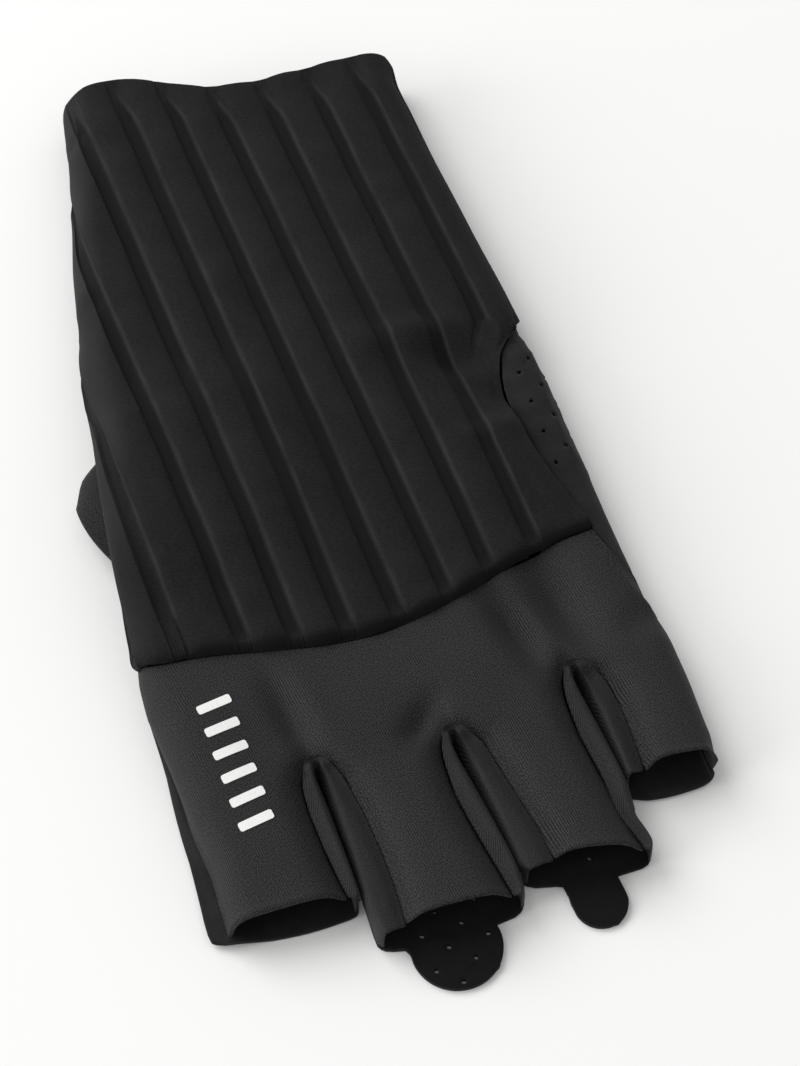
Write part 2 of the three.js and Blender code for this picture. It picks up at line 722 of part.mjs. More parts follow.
// A flat tab with a round end, lying on the surface.
function pullTab({ x, halfWidth, rootY, tipY }) {
  const outline = new THREE.Shape();
  const roundFrom = tipY + halfWidth;
  outline.moveTo(x - halfWidth * tabRootShare, rootY);
  outline.lineTo(x - halfWidth, roundFrom);
  outline.absarc(x, roundFrom, halfWidth, Math.PI, 2 * Math.PI, false);
  outline.lineTo(x + halfWidth * tabRootShare, rootY);
  outline.closePath();
  return new THREE.ExtrudeGeometry(outline, { depth: suedeThickness, bevelEnabled: false, curveSegments: 14 });
}

function asManifold(geometry) {
  const bare = geometry.clone();
  for (const name of Object.keys(bare.attributes)) {
    if (name !== 'position') bare.deleteAttribute(name);
  }
  const merged = mergeVertices(bare, mergeDistance);
  return new wasm.Manifold(new wasm.Mesh({
    numProp: 3,
    vertProperties: new Float32Array(merged.attributes.position.array),
    triVerts: new Uint32Array(merged.index.array),
  }));
}

function asGeometry(solid) {
  const mesh = solid.getMesh();
  const geometry = new THREE.BufferGeometry();
  geometry.setAttribute('position', new THREE.BufferAttribute(new Float32Array(mesh.vertProperties), 3));
  geometry.setIndex(new THREE.BufferAttribute(new Uint32Array(mesh.triVerts), 1));
  return geometry;
}

function holeCutter(position, direction) {
  const cutter = new THREE.CylinderGeometry(holeRadius, holeRadius, holeCutLength, holeSides);
  cutter.applyQuaternion(new THREE.Quaternion().setFromUnitVectors(new THREE.Vector3(0, 1, 0), direction));
  cutter.translate(position.x, position.y, position.z);
  return asManifold(cutter);
}

// Places of the lattice inside a field, every second one as on a chessboard.
function latticePlaces({ left, right, near, far }) {
  const places = [];
  const { x, y, stepX, stepY } = holeLattice;
  for (let row = Math.ceil((near - y) / stepY); y + row * stepY <= far; row += 1) {
    for (let column = Math.ceil((left - x) / stepX); x + column * stepX <= right; column += 1) {
      if ((row + column) % 2 === 0) places.push([x + column * stepX, y + row * stepY]);
    }
  }
  return places;
}

// The palm with its two pull tabs, its perforation and the hole that leads into the thumb.
function palmPanel() {
  let palm = asManifold(palmSheet());
  for (const tab of pullTabs) palm = palm.add(asManifold(pullTab(tab)));
  const up = new THREE.Vector3(0, 0, 1);
  for (const field of Object.values(holeFields)) {
    for (const [x, y] of latticePlaces(field)) {
      palm = palm.subtract(holeCutter(new THREE.Vector3(x, y, suedeThickness / 2), up));
    }
  }
  for (const { around, first, count } of sideHoleRows) {
    for (let k = 0; k < count; k += 1) {
      const y = first + k * sideHolePitch;
      const place = around + k * sideHolePitch * sideHoleLean;
      const outside = skin(y, place, 0);
      const inside = skin(y, place, layerSink + suedeThickness);
      const direction = outside.clone().sub(inside).normalize();
      palm = palm.subtract(holeCutter(outside.lerp(inside, 0.5), direction));
    }
  }
  const thumbCut = new THREE.CylinderGeometry(1, 1, thumbHole.cutLength, thumbHole.segments);
  thumbCut.rotateX(Math.PI / 2);
  thumbCut.scale(thumbHole.halfX, thumbHole.halfY, 1);
  thumbCut.translate(thumbHole.x, thumbHole.y, thumbLift.height + suedeThickness / 2);
  return asGeometry(palm.subtract(asManifold(thumbCut)));
}

// Short thumb stall, a flattened tube folded beneath the palm with its open end out at the side.
function thumbStall() {
  const sheet = new Sheet();

  function flattened(value, power) {
    return Math.sign(value) * Math.abs(value) ** power;
  }

  function ringPoint(ring, turn, depth) {
    const upper = new THREE.Vector2(ring.upperX, ring.upperZ);
    const lower = new THREE.Vector2(ring.lowerX, ring.lowerZ);
    const half = upper.clone().sub(lower).multiplyScalar(0.5);
    const middle = upper.clone().add(lower).multiplyScalar(0.5);
    const reach = half.length();
    half.multiplyScalar((reach - depth) / reach);
    const rise = flattened(Math.sin(turn), thumbFlatness.rise);
    const sideways = flattened(Math.cos(turn), thumbFlatness.sideways) * (ring.halfWidth - depth);
    const x = middle.x + half.x * rise - ring.skew * sideways;
    return new THREE.Vector3(x, ring.y + sideways, middle.y + half.y * rise);
  }

  const corner = (ring, point) => sheet.at(`${ring} ${point % thumbPointsAround}`, () => {
    const turn = (point % thumbPointsAround) / thumbPointsAround * 2 * Math.PI;
    return {
      outer: ringPoint(thumbRings[ring], turn, 0),
      inner: ringPoint(thumbRings[ring], turn, fourchetteThickness),
    };
  });
  for (let ring = 0; ring < thumbRings.length - 1; ring += 1) {
    for (let point = 0; point < thumbPointsAround; point += 1) sheet.addQuad(corner, ring, point);
  }
  return sheet.solid();
}

function cloth(color, roughness) {
  return new THREE.MeshStandardMaterial({ color, roughness, metalness: 0 });
}

const glove = new THREE.Group();

function addPanel(name, geometry, material) {
  const flat = geometry.index ? geometry.toNonIndexed() : geometry;
  const panel = new THREE.Mesh(mergeVertices(flat.deleteAttribute('normal'), mergeDistance), material);
  panel.name = name;
  glove.add(panel);
}

addPanel('ribbed_sleeve', ribbedSleeve(), cloth('#242424', 0.9));
addPanel('knuckle_panel', knucklePanel(), cloth('#303030', 0.75));
crotches.forEach((crotch) => addPanel(crotch.name, fourchette(crotch), cloth('#2c2c2c', 0.8)));
addPanel('palm_panel', palmPanel(), cloth('#1c1c1d', 0.95));
addPanel('thumb_stall', thumbStall(), cloth('#2a2a2a', 0.85));

// The origin is the middle of the underside.
const bounds = new THREE.Box3().setFromObject(glove);
const middle = bounds.getCenter(new THREE.Vector3());
glove.position.set(-middle.x, -middle.y, -bounds.min.z);

export default glove;
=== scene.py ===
# Half-finger cycling glove for the left hand, lying on its palm on a pale floor.
# Metres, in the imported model's frame: X across the hand to the little finger, Y from the
# finger ends to the cuff, Z up. Tables are in millimetres, in the cutting pattern's own place.
import math
import bpy
import numpy as np
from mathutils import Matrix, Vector
from mathutils.bvhtree import BVHTree


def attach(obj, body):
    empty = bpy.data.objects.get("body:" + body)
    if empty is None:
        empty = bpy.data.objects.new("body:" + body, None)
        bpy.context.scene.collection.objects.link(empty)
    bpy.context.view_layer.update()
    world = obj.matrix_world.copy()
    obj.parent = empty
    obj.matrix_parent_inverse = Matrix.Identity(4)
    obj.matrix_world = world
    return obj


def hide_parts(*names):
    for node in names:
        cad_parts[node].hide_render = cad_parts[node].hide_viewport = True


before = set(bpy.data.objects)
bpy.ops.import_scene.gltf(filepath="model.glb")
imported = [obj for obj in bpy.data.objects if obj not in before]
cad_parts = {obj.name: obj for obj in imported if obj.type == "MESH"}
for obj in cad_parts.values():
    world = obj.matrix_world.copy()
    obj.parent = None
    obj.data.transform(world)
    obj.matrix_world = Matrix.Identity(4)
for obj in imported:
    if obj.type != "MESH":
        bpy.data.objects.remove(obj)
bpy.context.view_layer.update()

mm = 0.001
patternShift = np.array((-0.23, -74.65, 0.0))  # where the cutting pattern's origin lies in the frame, mm


# Camera first, from the photograph's angle
photoCamera = dict(
    place=(-96.88, -303.86, 435.5),  # mm
    lookDown=35.0,  # degrees from straight down
    turn=-20.84,
    lens=81.05,
)


def addCamera():
    bpy.ops.object.camera_add(
        location=[v * mm for v in photoCamera["place"]],
        rotation=(math.radians(photoCamera["lookDown"]), 0, math.radians(photoCamera["turn"])),
    )
    camera = bpy.context.object
    camera.name = "photoCamera"
    camera.data.sensor_fit = "VERTICAL"
    camera.data.sensor_height = 36
    camera.data.lens = photoCamera["lens"]
    camera.data.clip_start = 0.01
    camera.data.clip_end = 20
    bpy.context.scene.camera = camera


addCamera()
print("camera placed")


# Small helpers for selection, meshes and materials
def selectOnly(piece):
    if bpy.context.object and bpy.context.object.mode != "OBJECT":
        bpy.ops.object.mode_set(mode="OBJECT")
    bpy.ops.object.select_all(action="DESELECT")
    piece.select_set(True)
    bpy.context.view_layer.objects.active = piece


def applyModifier(piece, kind, **settings):
    selectOnly(piece)
    modifier = piece.modifiers.new(kind.title(), kind)
    for key, value in settings.items():
        setattr(modifier, key, value)
    bpy.ops.object.modifier_apply(modifier=modifier.name)


def readPoints(piece):
    flat = np.empty(len(piece.data.vertices) * 3)
    piece.data.vertices.foreach_get("co", flat)
    return flat.reshape(-1, 3) / mm - patternShift  # in the pattern's place, mm


def writePoints(piece, points):
    piece.data.vertices.foreach_set("co", ((points + patternShift) * mm).ravel())
    piece.data.update()


def smoothStep(low, high, value):
    share = np.clip((value - low) / (high - low), 0, 1)
    return share * share * (3 - 2 * share)


def bell(way):  # 1 at 0, fading to both sides
    return np.exp(-way ** 2)


def linearColour(hexValue):
    parts = [int(hexValue[i : i + 2], 16) / 255 for i in (1, 3, 5)]
    return [v / 12.92 if v <= 0.04045 else ((v + 0.055) / 1.055) ** 2.4 for v in parts] + [1]


def addNode(tree, kind, settings=None, links=None):  # hex colours turn linear
    node = tree.nodes.new(kind)
    for key, value in (settings or {}).items():
        if isinstance(key, int) or key in node.inputs:
            node.inputs[key].default_value = linearColour(value) if isinstance(value, str) else value
        else:
            setattr(node, key, value)
    for key, source in (links or {}).items():
        tree.links.new(source, node.inputs[key])
    return node


# The glove's section, relief and ribs, as the solids have them
gloveSections = dict(
    y=(-40, -22, 0, 22, 38, 57, 75, 97, 130, 160, 183, 200),
    left=(-54.4, -54.8, -55.0, -55.2, -54.6, -52.1, -49.3, -45.5, -39.6, -32.5, -26.6, -22.8),
    right=(51.4, 52.0, 53.9, 53.7, 54.0, 54.8, 55.9, 57.3, 57.3, 57.5, 58.4, 59.0),
    height=(10.2, 10.3, 10.9, 12.0, 13.2, 14.0, 14.4, 14.4, 14.0, 13.5, 13.0, 12.5),
)
thumbLift = dict(height=7.2, right=-14, fadeX=16, near=61, far=94, fadeY=15, shareAbove=0.3)
crownRise = 1.0  # how far the back's middle stands above its sides
backFrom = (0.35, 0.6)  # shares of the height between which the palm side turns into the back
reliefPasses = 4  # the relief depends on the share of the height, so the two are found in turn
backReliefs = (  # x, y, reach across, reach along, rise
    (22, 101, 12, 9, 1.0), (38, 85, 10, 10, -2.2), (46, 98, 7, 5, -0.8), (-34, 9, 6, 9, -1.0),
    (-8, 3, 8, 4, -1.2), (28, 20, 6, 9, -1.3), (46, 17, 6, 6, -0.9),
)
ribGrooves = dict(
    atCuff=(-56.6, -45.0, -32.8, -21.0, -10.4, 0.3, 12.1, 23.6, 35.2, 47.3, 58.6),
    atKnuckles=(-56.6, -46.0, -32.4, -21.8, -11.6, -0.9, 10.6, 21.8, 33.0, 45.6, 58.6),
    shiftAtCuff=(0, -0.9, -1.3, -0.8, 0.5, 0.9, 0, 0.5, 1.0, 0.5, 0),  # where the pressing wanders
    shiftAtKnuckles=(0, 0.8, 0.4, 0.3, 0.9, 1.4, 1.5, 0.9, 1.2, 0.2, 0),
    cuffY=190,
    knuckleY=30,
)
knuckleSeam = dict(
    x=(-62, -50, -40, -28, -16, -4, 10, 24, 38, 50),
    y=(40.5, 35.6, 33.8, 30.6, 27.6, 26.2, 27.8, 31.4, 34.4, 35.2),
)
cuffEnd = dict(
    x=(-62, -22, -15, -9, -3, 6, 16, 30, 46, 56, 62),
    y=(197.0, 198.4, 200.4, 199.6, 197.4, 192.2, 187.8, 186.0, 186.6, 185.8, 182.6),
)
sideTrims = dict(  # how far the made-up sides stand out from the solids' straighter ones, mm
    sleeveY=(94, 103, 110, 116, 121, 126),
    sleeveOut=(0.2, 0.6, 0.9, 1.3, 0.9, 0),
    knitY=(-28, -18, -12, -6, 0, 8, 14, 18, 22, 26, 34, 38, 41),
    knitOut=(0, -0.6, -1.1, -0.8, -0.3, 0, 0.1, 0.3, 0.6, 1.3, 1.4, 1.2, 0),
    suedeY=(-28, -24, -21, -15, -7, -1, 5, 11, 14, 17, 20, 34, 40),
    suedeOut=(1.5, 0.9, 0.8, 0.3, 0.1, 0.5, 0.7, 0.7, 0.6, 0.7, 0.8, 1.2, 0),
    littleY=(1, 7, 10, 14, 17, 20, 24, 28, 50, 60, 87, 94),
    littleOut=(0, 0.2, 0.5, 1.0, 0.8, 0.7, 1.0, 0.8, 0.8, 0.5, 0.5, 0),
)


def sectionAt(y):
    return [np.interp(y, gloveSections["y"], gloveSections[key]) for key in ("left", "right", "height")]


def reliefAt(x, y, share):  # what the thumb beneath and the shape of the back add to the skin's height
    left, right, _ = sectionAt(y)
    lift = 1 - smoothStep(thumbLift["right"], thumbLift["right"] + thumbLift["fadeX"], x)
    lift = lift * smoothStep(thumbLift["near"] - thumbLift["fadeY"], thumbLift["near"], y)
    lift = lift * (1 - smoothStep(thumbLift["far"], thumbLift["far"] + thumbLift["fadeY"], y))
    lift = lift * thumbLift["height"] * (1 - share * (1 - thumbLift["shareAbove"]))
    back = crownRise * (1 - ((2 * x - left - right) / (right - left)) ** 2)
    for spotX, spotY, reachX, reachY, rise in backReliefs:
        back = back + rise * bell((x - spotX) / reachX) * bell((y - spotY) / reachY)
    return lift + back * share * share


def sideTrim(y, name):
    return np.interp(y, sideTrims[name + "Y"], sideTrims[name + "Out"])


# For each point: its way round the skin from the middle of the back, how deep it lies below the
# skin, the direction out of the skin, and 1 on the back, 0 on the palm side
def skinFrame(points):
    x, y, z = points.T
    left, right, height = sectionAt(y)
    radius = height / 2
    share = np.clip(z / height, 0, 1)
    for _ in range(reliefPasses):
        bareZ = z - reliefAt(x, y, share)
        share = np.clip(bareZ / height, 0, 1)
    middle = np.clip(x, left + radius, right - radius)
    aside, above = x - middle, bareZ - radius
    reach = np.maximum(np.hypot(aside, above), 0.001)
    side = np.where(middle > 0, 1, -1)
    under = (above < 0) & (np.abs(aside) < 0.001)
    roundWay = middle + radius * np.where(under, 0, np.arctan2(aside, above))
    flat = np.where(side > 0, right - radius, -(left + radius))
    around = np.where(under, side * (2 * flat + math.pi * radius - np.abs(middle)), roundWay)
    outward = np.stack((aside / reach, np.zeros(len(x)), above / reach), axis=1)
    return around, radius - reach, outward, smoothStep(*backFrom, share)


def roundTheSkin(outward):  # the direction across the glove, along its skin
    return np.stack((outward[:, 2], outward[:, 1], -outward[:, 0]), axis=1)


def ribTable(y, atCuff, atKnuckles):  # one row per point, one column per groove
    share = (ribGrooves["cuffY"] - y) / (ribGrooves["cuffY"] - ribGrooves["knuckleY"])
    return np.outer(1 - share, ribGrooves[atCuff]) + np.outer(share, ribGrooves[atKnuckles])


def grooveDistance(around, y):  # from the nearest groove's middle line, less than 0 on its left
    away = around[:, None] - ribTable(y, "atCuff", "atKnuckles")
    nearest = np.abs(away).argmin(axis=1)
    return away[np.arange(len(y)), nearest], nearest


def grooveShift(around, y):  # how far the grooves wander sideways from their even spacing
    lines = ribTable(y, "atCuff", "atKnuckles")
    shifts = ribTable(y, "shiftAtCuff", "shiftAtKnuckles")
    shift = np.zeros(len(y))
    for k in range(lines.shape[1] - 1):
        share = (around - lines[:, k]) / (lines[:, k + 1] - lines[:, k])
        between = (share >= 0) & (share < 1)
        shift += np.where(between, shifts[:, k] + (shifts[:, k + 1] - shifts[:, k]) * share, 0)
    return shift


def spotHeights(around, y, spots):  # broad dents, swells and creases, as heights out of the skin
    rise = np.zeros(len(y))
    for spotX, spotY, degrees, reach, width, height in spots:
        turn = math.radians(degrees)
        dx, dy = around - spotX, y - spotY
        longways = (dx * math.cos(turn) + dy * math.sin(turn)) / reach
        sideways = (dy * math.cos(turn) - dx * math.sin(turn)) / width
        rise += height * bell(longways) * bell(sideways)
    return rise


swellWaves = dict(count=9, shortest=1.5, longest=3.0, commonHeight=5)  # their lengths in lump sizes


def wander(around, y, size, seed):  # smooth irregular swell, about -1 to 1, its lumps "size" mm wide
    chance = np.random.default_rng(seed)
    total = np.zeros(len(y))
    for _ in range(swellWaves["count"]):
        heading, phase = chance.uniform(0, math.pi), chance.uniform(0, 2 * math.pi)
        pitch = size * chance.uniform(swellWaves["shortest"], swellWaves["longest"])
        way = around * math.cos(heading) + y * math.sin(heading)
        total += np.sin(way * 2 * math.pi / pitch + phase)
    return total / swellWaves["commonHeight"]


def nodeTree(*nodes):  # for measuring distances to solids, in the frame's mm
    corners, faces = [], []
    for node in nodes:
        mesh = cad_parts[node].data
        faces += [[len(corners) + i for i in face.vertices] for face in mesh.polygons]
        corners += [vertex.co / mm for vertex in mesh.vertices]
    return BVHTree.FromPolygons(corners, faces)


def nearestOn(tree, points):  # distance to the solids, and the direction to them
    distance, direction = np.empty(len(points)), np.zeros((len(points), 3))
    for i, point in enumerate(points + patternShift):
        place, _, _, away = tree.find_nearest(point)
        distance[i] = away
        direction[i] = (np.array(place) - point) / max(away, 0.001)
    return distance, direction


def closingTo(distance, gap, span):  # how far cloth near a neighbour moves to leave just the gap
    return np.maximum(distance - gap, 0) * smoothStep(*span, distance)


def readNumbers(items, name):
    values = np.empty(len(items), dtype=int)
    items.foreach_get(name, values)
    return values


widestFace = 60  # mm, a longer jump across means that a face spans the palm's middle


def layWeave(piece, across, along):  # cloth coordinates in mm, for patterns that follow the surface
    layer = piece.data.uv_layers.new(name="weave")
    corner = readNumbers(piece.data.loops, "vertex_index")
    first = readNumbers(piece.data.polygons, "loop_start")
    sizes = readNumbers(piece.data.polygons, "loop_total")
    spread = across[corner]
    start = np.repeat(spread[first], sizes)
    jump = np.where(np.abs(spread - start) > widestFace, spread - start, 0)
    layer.data.foreach_set("uv", np.stack((spread - jump, along[corner]), axis=1).ravel())


def storeField(piece, name, values):
    field = piece.data.attributes.new(name, "FLOAT", "POINT")
    field.data.foreach_set("value", values.astype(np.float32))


quadRepair = dict(mergeWithin=0.003, flatWithin=50, squareWithin=60)  # mm and degrees


# A copy of a solid's mesh, merged and turned back into the quads of its sheet
def clothCopy(name, node, settings):
    piece = bpy.data.objects.new(name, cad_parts[node].data.copy())
    bpy.context.scene.collection.objects.link(piece)
    piece.data.materials.clear()
    selectOnly(piece)
    bpy.ops.object.mode_set(mode="EDIT")
    bpy.ops.mesh.select_all(action="SELECT")
    bpy.ops.mesh.remove_doubles(threshold=quadRepair["mergeWithin"] * mm)
    bpy.ops.mesh.tris_convert_to_quads(
        face_threshold=math.radians(quadRepair["flatWithin"]),
        shape_threshold=math.radians(quadRepair["squareWithin"]), topology_influence=1)
    bpy.ops.mesh.normals_make_consistent(inside=False)
    bpy.ops.mesh.select_mode(type="EDGE")
    bpy.ops.mesh.select_all(action="DESELECT")
    bpy.ops.mesh.edges_select_sharp(sharpness=math.radians(settings["rimAngle"]))
    bpy.ops.mesh.bevel(
        offset=settings["rimRound"] * mm, segments=settings["rimSteps"], affect="EDGES", clamp_overlap=True)
    bpy.ops.object.mode_set(mode="OBJECT")
    cutLongEdges(piece, settings["longestEdge"])
    applyModifier(piece, "SUBSURF", levels=settings["smoothing"], render_levels=settings["smoothing"])
    bpy.ops.object.shade_smooth()
    return piece


def selectNone(kind):  # of the mesh's vertices or edges
    bpy.ops.object.mode_set(mode="EDIT")
    bpy.ops.mesh.select_mode(type=kind)
    bpy.ops.mesh.select_all(action="DESELECT")
    bpy.ops.object.mode_set(mode="OBJECT")


def cutLongEdges(piece, longest):
    selectOnly(piece)
    selectNone("EDGE")
    vertices = piece.data.vertices
    for edge in piece.data.edges:
        ends = [vertices[i].co for i in edge.vertices]
        edge.select = (ends[0] - ends[1]).length > longest * mm
    bpy.ops.object.mode_set(mode="EDIT")
    bpy.ops.mesh.subdivide(number_cuts=1)
    bpy.ops.object.mode_set(mode="OBJECT")


def finishPiece(piece, node, material):
    piece.data.materials.append(material)
    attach(piece, "root")
    if node:
        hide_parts(node)
    print(piece.name, "made,", len(piece.data.polygons), "faces")


# Materials
def newMaterial(name):
    material = bpy.data.materials.new(name)
    material.use_nodes = True
    return material, material.node_tree, material.node_tree.nodes["Principled BSDF"]


def finishShader(tree, shader, colour, bump, settings):
    tree.links.new(colour, shader.inputs["Base Color"])
    tree.links.new(bump.outputs["Normal"], shader.inputs["Normal"])
    for socket, key in (("Roughness", "roughness"), ("Sheen Weight", "sheen"),
                        ("Sheen Roughness", "sheenRoughness"), ("Specular IOR Level", "specular")):
        if key in settings:
            shader.inputs[socket].default_value = settings[key]


jersey = dict(
    colour="#141415",
    lighterColour="#212122",
    # groove floors darkened partly by glaze and partly by painted shade, and painted shade under the front
    # edge
    glazeAndShadeColour="#151515",
    # painted highlight on the crest right of each groove and on the index-side flank
    crestHighlightColour="#2a2a2b",
    roughness=0.9,
    sheen=0.02,
    sheenRoughness=0.5,
    specular=0.08,  # the brushed fibres scatter, so little of the gloss is left
    courseLength=1.1,  # mm, loops lie across the hand
    courseHeight=0.4,
    grain=0.16,
    linePitch=0.62,  # mm, fine lines pressed into the grooves near the knuckles
    lineRelief=0.12,
)


# Brushed jersey laminated on thin foam, its grooves heat-pressed: dull, with a soft grain of loops
# that lie across the hand, floors darkened partly by glaze and partly by painted shade, painted shade under
# the front edge, and a painted highlight on the crest right of each groove and on the index-side flank
def makeBrushedJersey():
    material, tree, shader = newMaterial("brushedJerseyOnFoam")
    weave = addNode(tree, "ShaderNodeUVMap", {"uv_map": "weave"}).outputs["UV"]
    glazeAndShade, crest, lines, place = [
        addNode(tree, "ShaderNodeAttribute", {"attribute_name": name}).outputs["Fac"]
        for name in ("glazeAndShade", "crest", "lines", "groovePlace")
    ]
    loops = addNode(tree, "ShaderNodeMapping", {
        "Scale": (1 / jersey["courseLength"], 1 / jersey["courseHeight"], 1)}, {"Vector": weave})
    grain = addNode(tree, "ShaderNodeTexNoise", {
        "Scale": 1.0, "Detail": 3.0, "Roughness": 0.6}, {"Vector": loops.outputs["Vector"]})
    patches = addNode(tree, "ShaderNodeTexNoise", {
        "Scale": 0.07, "Detail": 5.0, "Roughness": 0.6}, {"Vector": weave})
    tone = addNode(tree, "ShaderNodeMath", {"operation": "MULTIPLY_ADD", 1: 1.5},
                   {0: grain.outputs["Fac"], 2: patches.outputs["Fac"]})
    spread = addNode(tree, "ShaderNodeMapRange", {"From Min": 0.9, "From Max": 1.6},
                     {"Value": tone.outputs["Value"]})
    mottled = addNode(tree, "ShaderNodeMix", {
        "data_type": "RGBA", 6: jersey["colour"], 7: jersey["lighterColour"]}, {0: spread.outputs["Result"]})
    # groove floors darkened partly by glaze and partly by painted shade, and painted shade under the front
    # edge
    darkened = addNode(tree, "ShaderNodeMix", {
        "data_type": "RGBA", 7: jersey["glazeAndShadeColour"]}, {0: glazeAndShade, 6: mottled.outputs[2]})
    # painted highlight on the crests and on the index-side flank
    coloured = addNode(tree, "ShaderNodeMix", {
        "data_type": "RGBA", 7: jersey["crestHighlightColour"]}, {0: crest, 6: darkened.outputs[2]})
    phase = addNode(tree, "ShaderNodeMath", {
        "operation": "MULTIPLY", 1: 2 * math.pi / jersey["linePitch"]}, {0: place})
    wave = addNode(tree, "ShaderNodeMath", {"operation": "SINE"}, {0: phase.outputs["Value"]})
    pressedLines = addNode(tree, "ShaderNodeMath", {"operation": "MULTIPLY"},
                           {0: wave.outputs["Value"], 1: lines})
    height = addNode(tree, "ShaderNodeMath", {
        "operation": "MULTIPLY_ADD", 1: 0.5 * jersey["lineRelief"] / jersey["grain"]},
        {0: pressedLines.outputs["Value"], 2: grain.outputs["Fac"]})
    bump = addNode(tree, "ShaderNodeBump", {"Strength": 0.8, "Distance": jersey["grain"] * mm},
                   {"Height": height.outputs["Value"]})
    finishShader(tree, shader, coloured.outputs[2], bump, jersey)
    return material


knit = dict(
    colour="#111112",
    lighterColour="#333334",
    roughness=0.65,
    sheen=0.03,
    sheenRoughness=0.4,
    specular=0.12,
    walePitch=0.5,  # mm between the knit's fine lines
    waleLean=-6.0,  # degrees from the finger's length
    waleRelief=0.06,
    waleShare=0.24,  # how far the lines stand out where they show most
    grainSize=0.27,  # mm, the loops' own scatter
    grain=0.14,
)


# Warp-knit polyester with a fine rib: smooth and faintly glossy, thin lines run along the fingers
# and show in patches, over the scatter of the single loops
def makeFineKnit(name, settings):
    material, tree, shader = newMaterial(name)
    weave = addNode(tree, "ShaderNodeUVMap", {"uv_map": "weave"}).outputs["UV"]
    turned = addNode(tree, "ShaderNodeMapping", {
        "Rotation": (0, 0, math.radians(settings["waleLean"]))}, {"Vector": weave})
    axes = addNode(tree, "ShaderNodeSeparateXYZ", {}, {"Vector": turned.outputs["Vector"]})
    phase = addNode(tree, "ShaderNodeMath", {
        "operation": "MULTIPLY", 1: 2 * math.pi / settings["walePitch"]}, {0: axes.outputs["X"]})
    wave = addNode(tree, "ShaderNodeMath", {"operation": "SINE"}, {0: phase.outputs["Value"]})
    patches = addNode(tree, "ShaderNodeTexNoise", {"Scale": 0.09, "Detail": 2.0}, {"Vector": weave})
    showing = addNode(tree, "ShaderNodeMapRange", {
        "From Min": 0.47, "From Max": 0.65,
        "To Min": 0.05 * settings["waleShare"], "To Max": 0.5 * settings["waleShare"]},
        {"Value": patches.outputs["Fac"]})
    wale = addNode(tree, "ShaderNodeMath", {"operation": "MULTIPLY"},
                   {0: wave.outputs["Value"], 1: showing.outputs["Result"]})
    grain = addNode(tree, "ShaderNodeTexNoise", {
        "Scale": 1 / settings["grainSize"], "Detail": 2.0, "Roughness": 0.7}, {"Vector": weave})
    height = addNode(tree, "ShaderNodeMath", {"operation": "ADD"},
                     {0: grain.outputs["Fac"], 1: wale.outputs["Value"]})
    tone = addNode(tree, "ShaderNodeMapRange", {"From Min": 0.44, "From Max": 0.56},
                   {"Value": height.outputs["Value"]})
    coloured = addNode(tree, "ShaderNodeMix", {
        "data_type": "RGBA", 6: settings["colour"], 7: settings["lighterColour"]},
        {0: tone.outputs["Result"]})
    bump = addNode(tree, "ShaderNodeBump", {
        "Strength": 0.7, "Distance": (settings["waleRelief"] + settings["grain"]) * mm},
        {"Height": height.outputs["Value"]})
    finishShader(tree, shader, coloured.outputs[2], bump, settings)
    return material


suede = dict(
    colour="#0c0c0c",
    lighterColour="#171617",
    # lighter tone of the outer face, also used as painted light on the lit band by the index finger
    outerAndLitColour="#141314",
    outerAndLitLighterColour="#2a292a",
    roughness=0.95,
    sheen=0.05,
    sheenRoughness=0.5,
    specular=0.08,
    napSize=0.5,  # mm
    nap=0.14,
)


# Synthetic microfibre suede, brushed: matte, a fine uneven nap, lighter on its outer face, with painted
# light on the lit band by the index finger and inside the glove
def makeSuede():
    material, tree, shader = newMaterial("microfibreSuede")
    place = addNode(tree, "ShaderNodeTexCoord").outputs["Object"]
    nap = addNode(tree, "ShaderNodeTexNoise", {
        "Scale": 1 / (suede["napSize"] * mm), "Detail": 4.0, "Roughness": 0.65}, {"Vector": place})
    patches = addNode(tree, "ShaderNodeTexNoise", {
        "Scale": 240.0, "Detail": 5.0, "Roughness": 0.6}, {"Vector": place})
    inner, outer = [
        addNode(tree, "ShaderNodeMix", {"data_type": "RGBA", 6: dark, 7: light},
                {0: patches.outputs["Fac"]}).outputs[2]
        for dark, light in ((suede["colour"], suede["lighterColour"]),
                            (suede["outerAndLitColour"], suede["outerAndLitLighterColour"]))
    ]
    # lighter outer face, with painted light on the band by the index finger and inside the glove
    outerFaceAndLight = addNode(tree, "ShaderNodeAttribute", {"attribute_name": "outerFaceAndLight"}).outputs["Fac"]
    coloured = addNode(tree, "ShaderNodeMix", {"data_type": "RGBA"}, {0: outerFaceAndLight, 6: inner, 7: outer})
    bump = addNode(tree, "ShaderNodeBump", {"Strength": 0.8, "Distance": suede["nap"] * mm},
                   {"Height": nap.outputs["Fac"]})
    finishShader(tree, shader, coloured.outputs[2], bump, suede)
    return material


stripKnit = dict(  # the strips are cut on the bias, their lines stand out more
    knit, waleLean=-24.0, waleShare=0.6, waleRelief=0.12, colour="#18181a", lighterColour="#353536")
brushedJersey = makeBrushedJersey()
fineKnit = makeFineKnit("fineWarpKnit", knit)
fourchetteKnit = makeFineKnit("fourchetteRibKnit", stripKnit)
microfibreSuede = makeSuede()


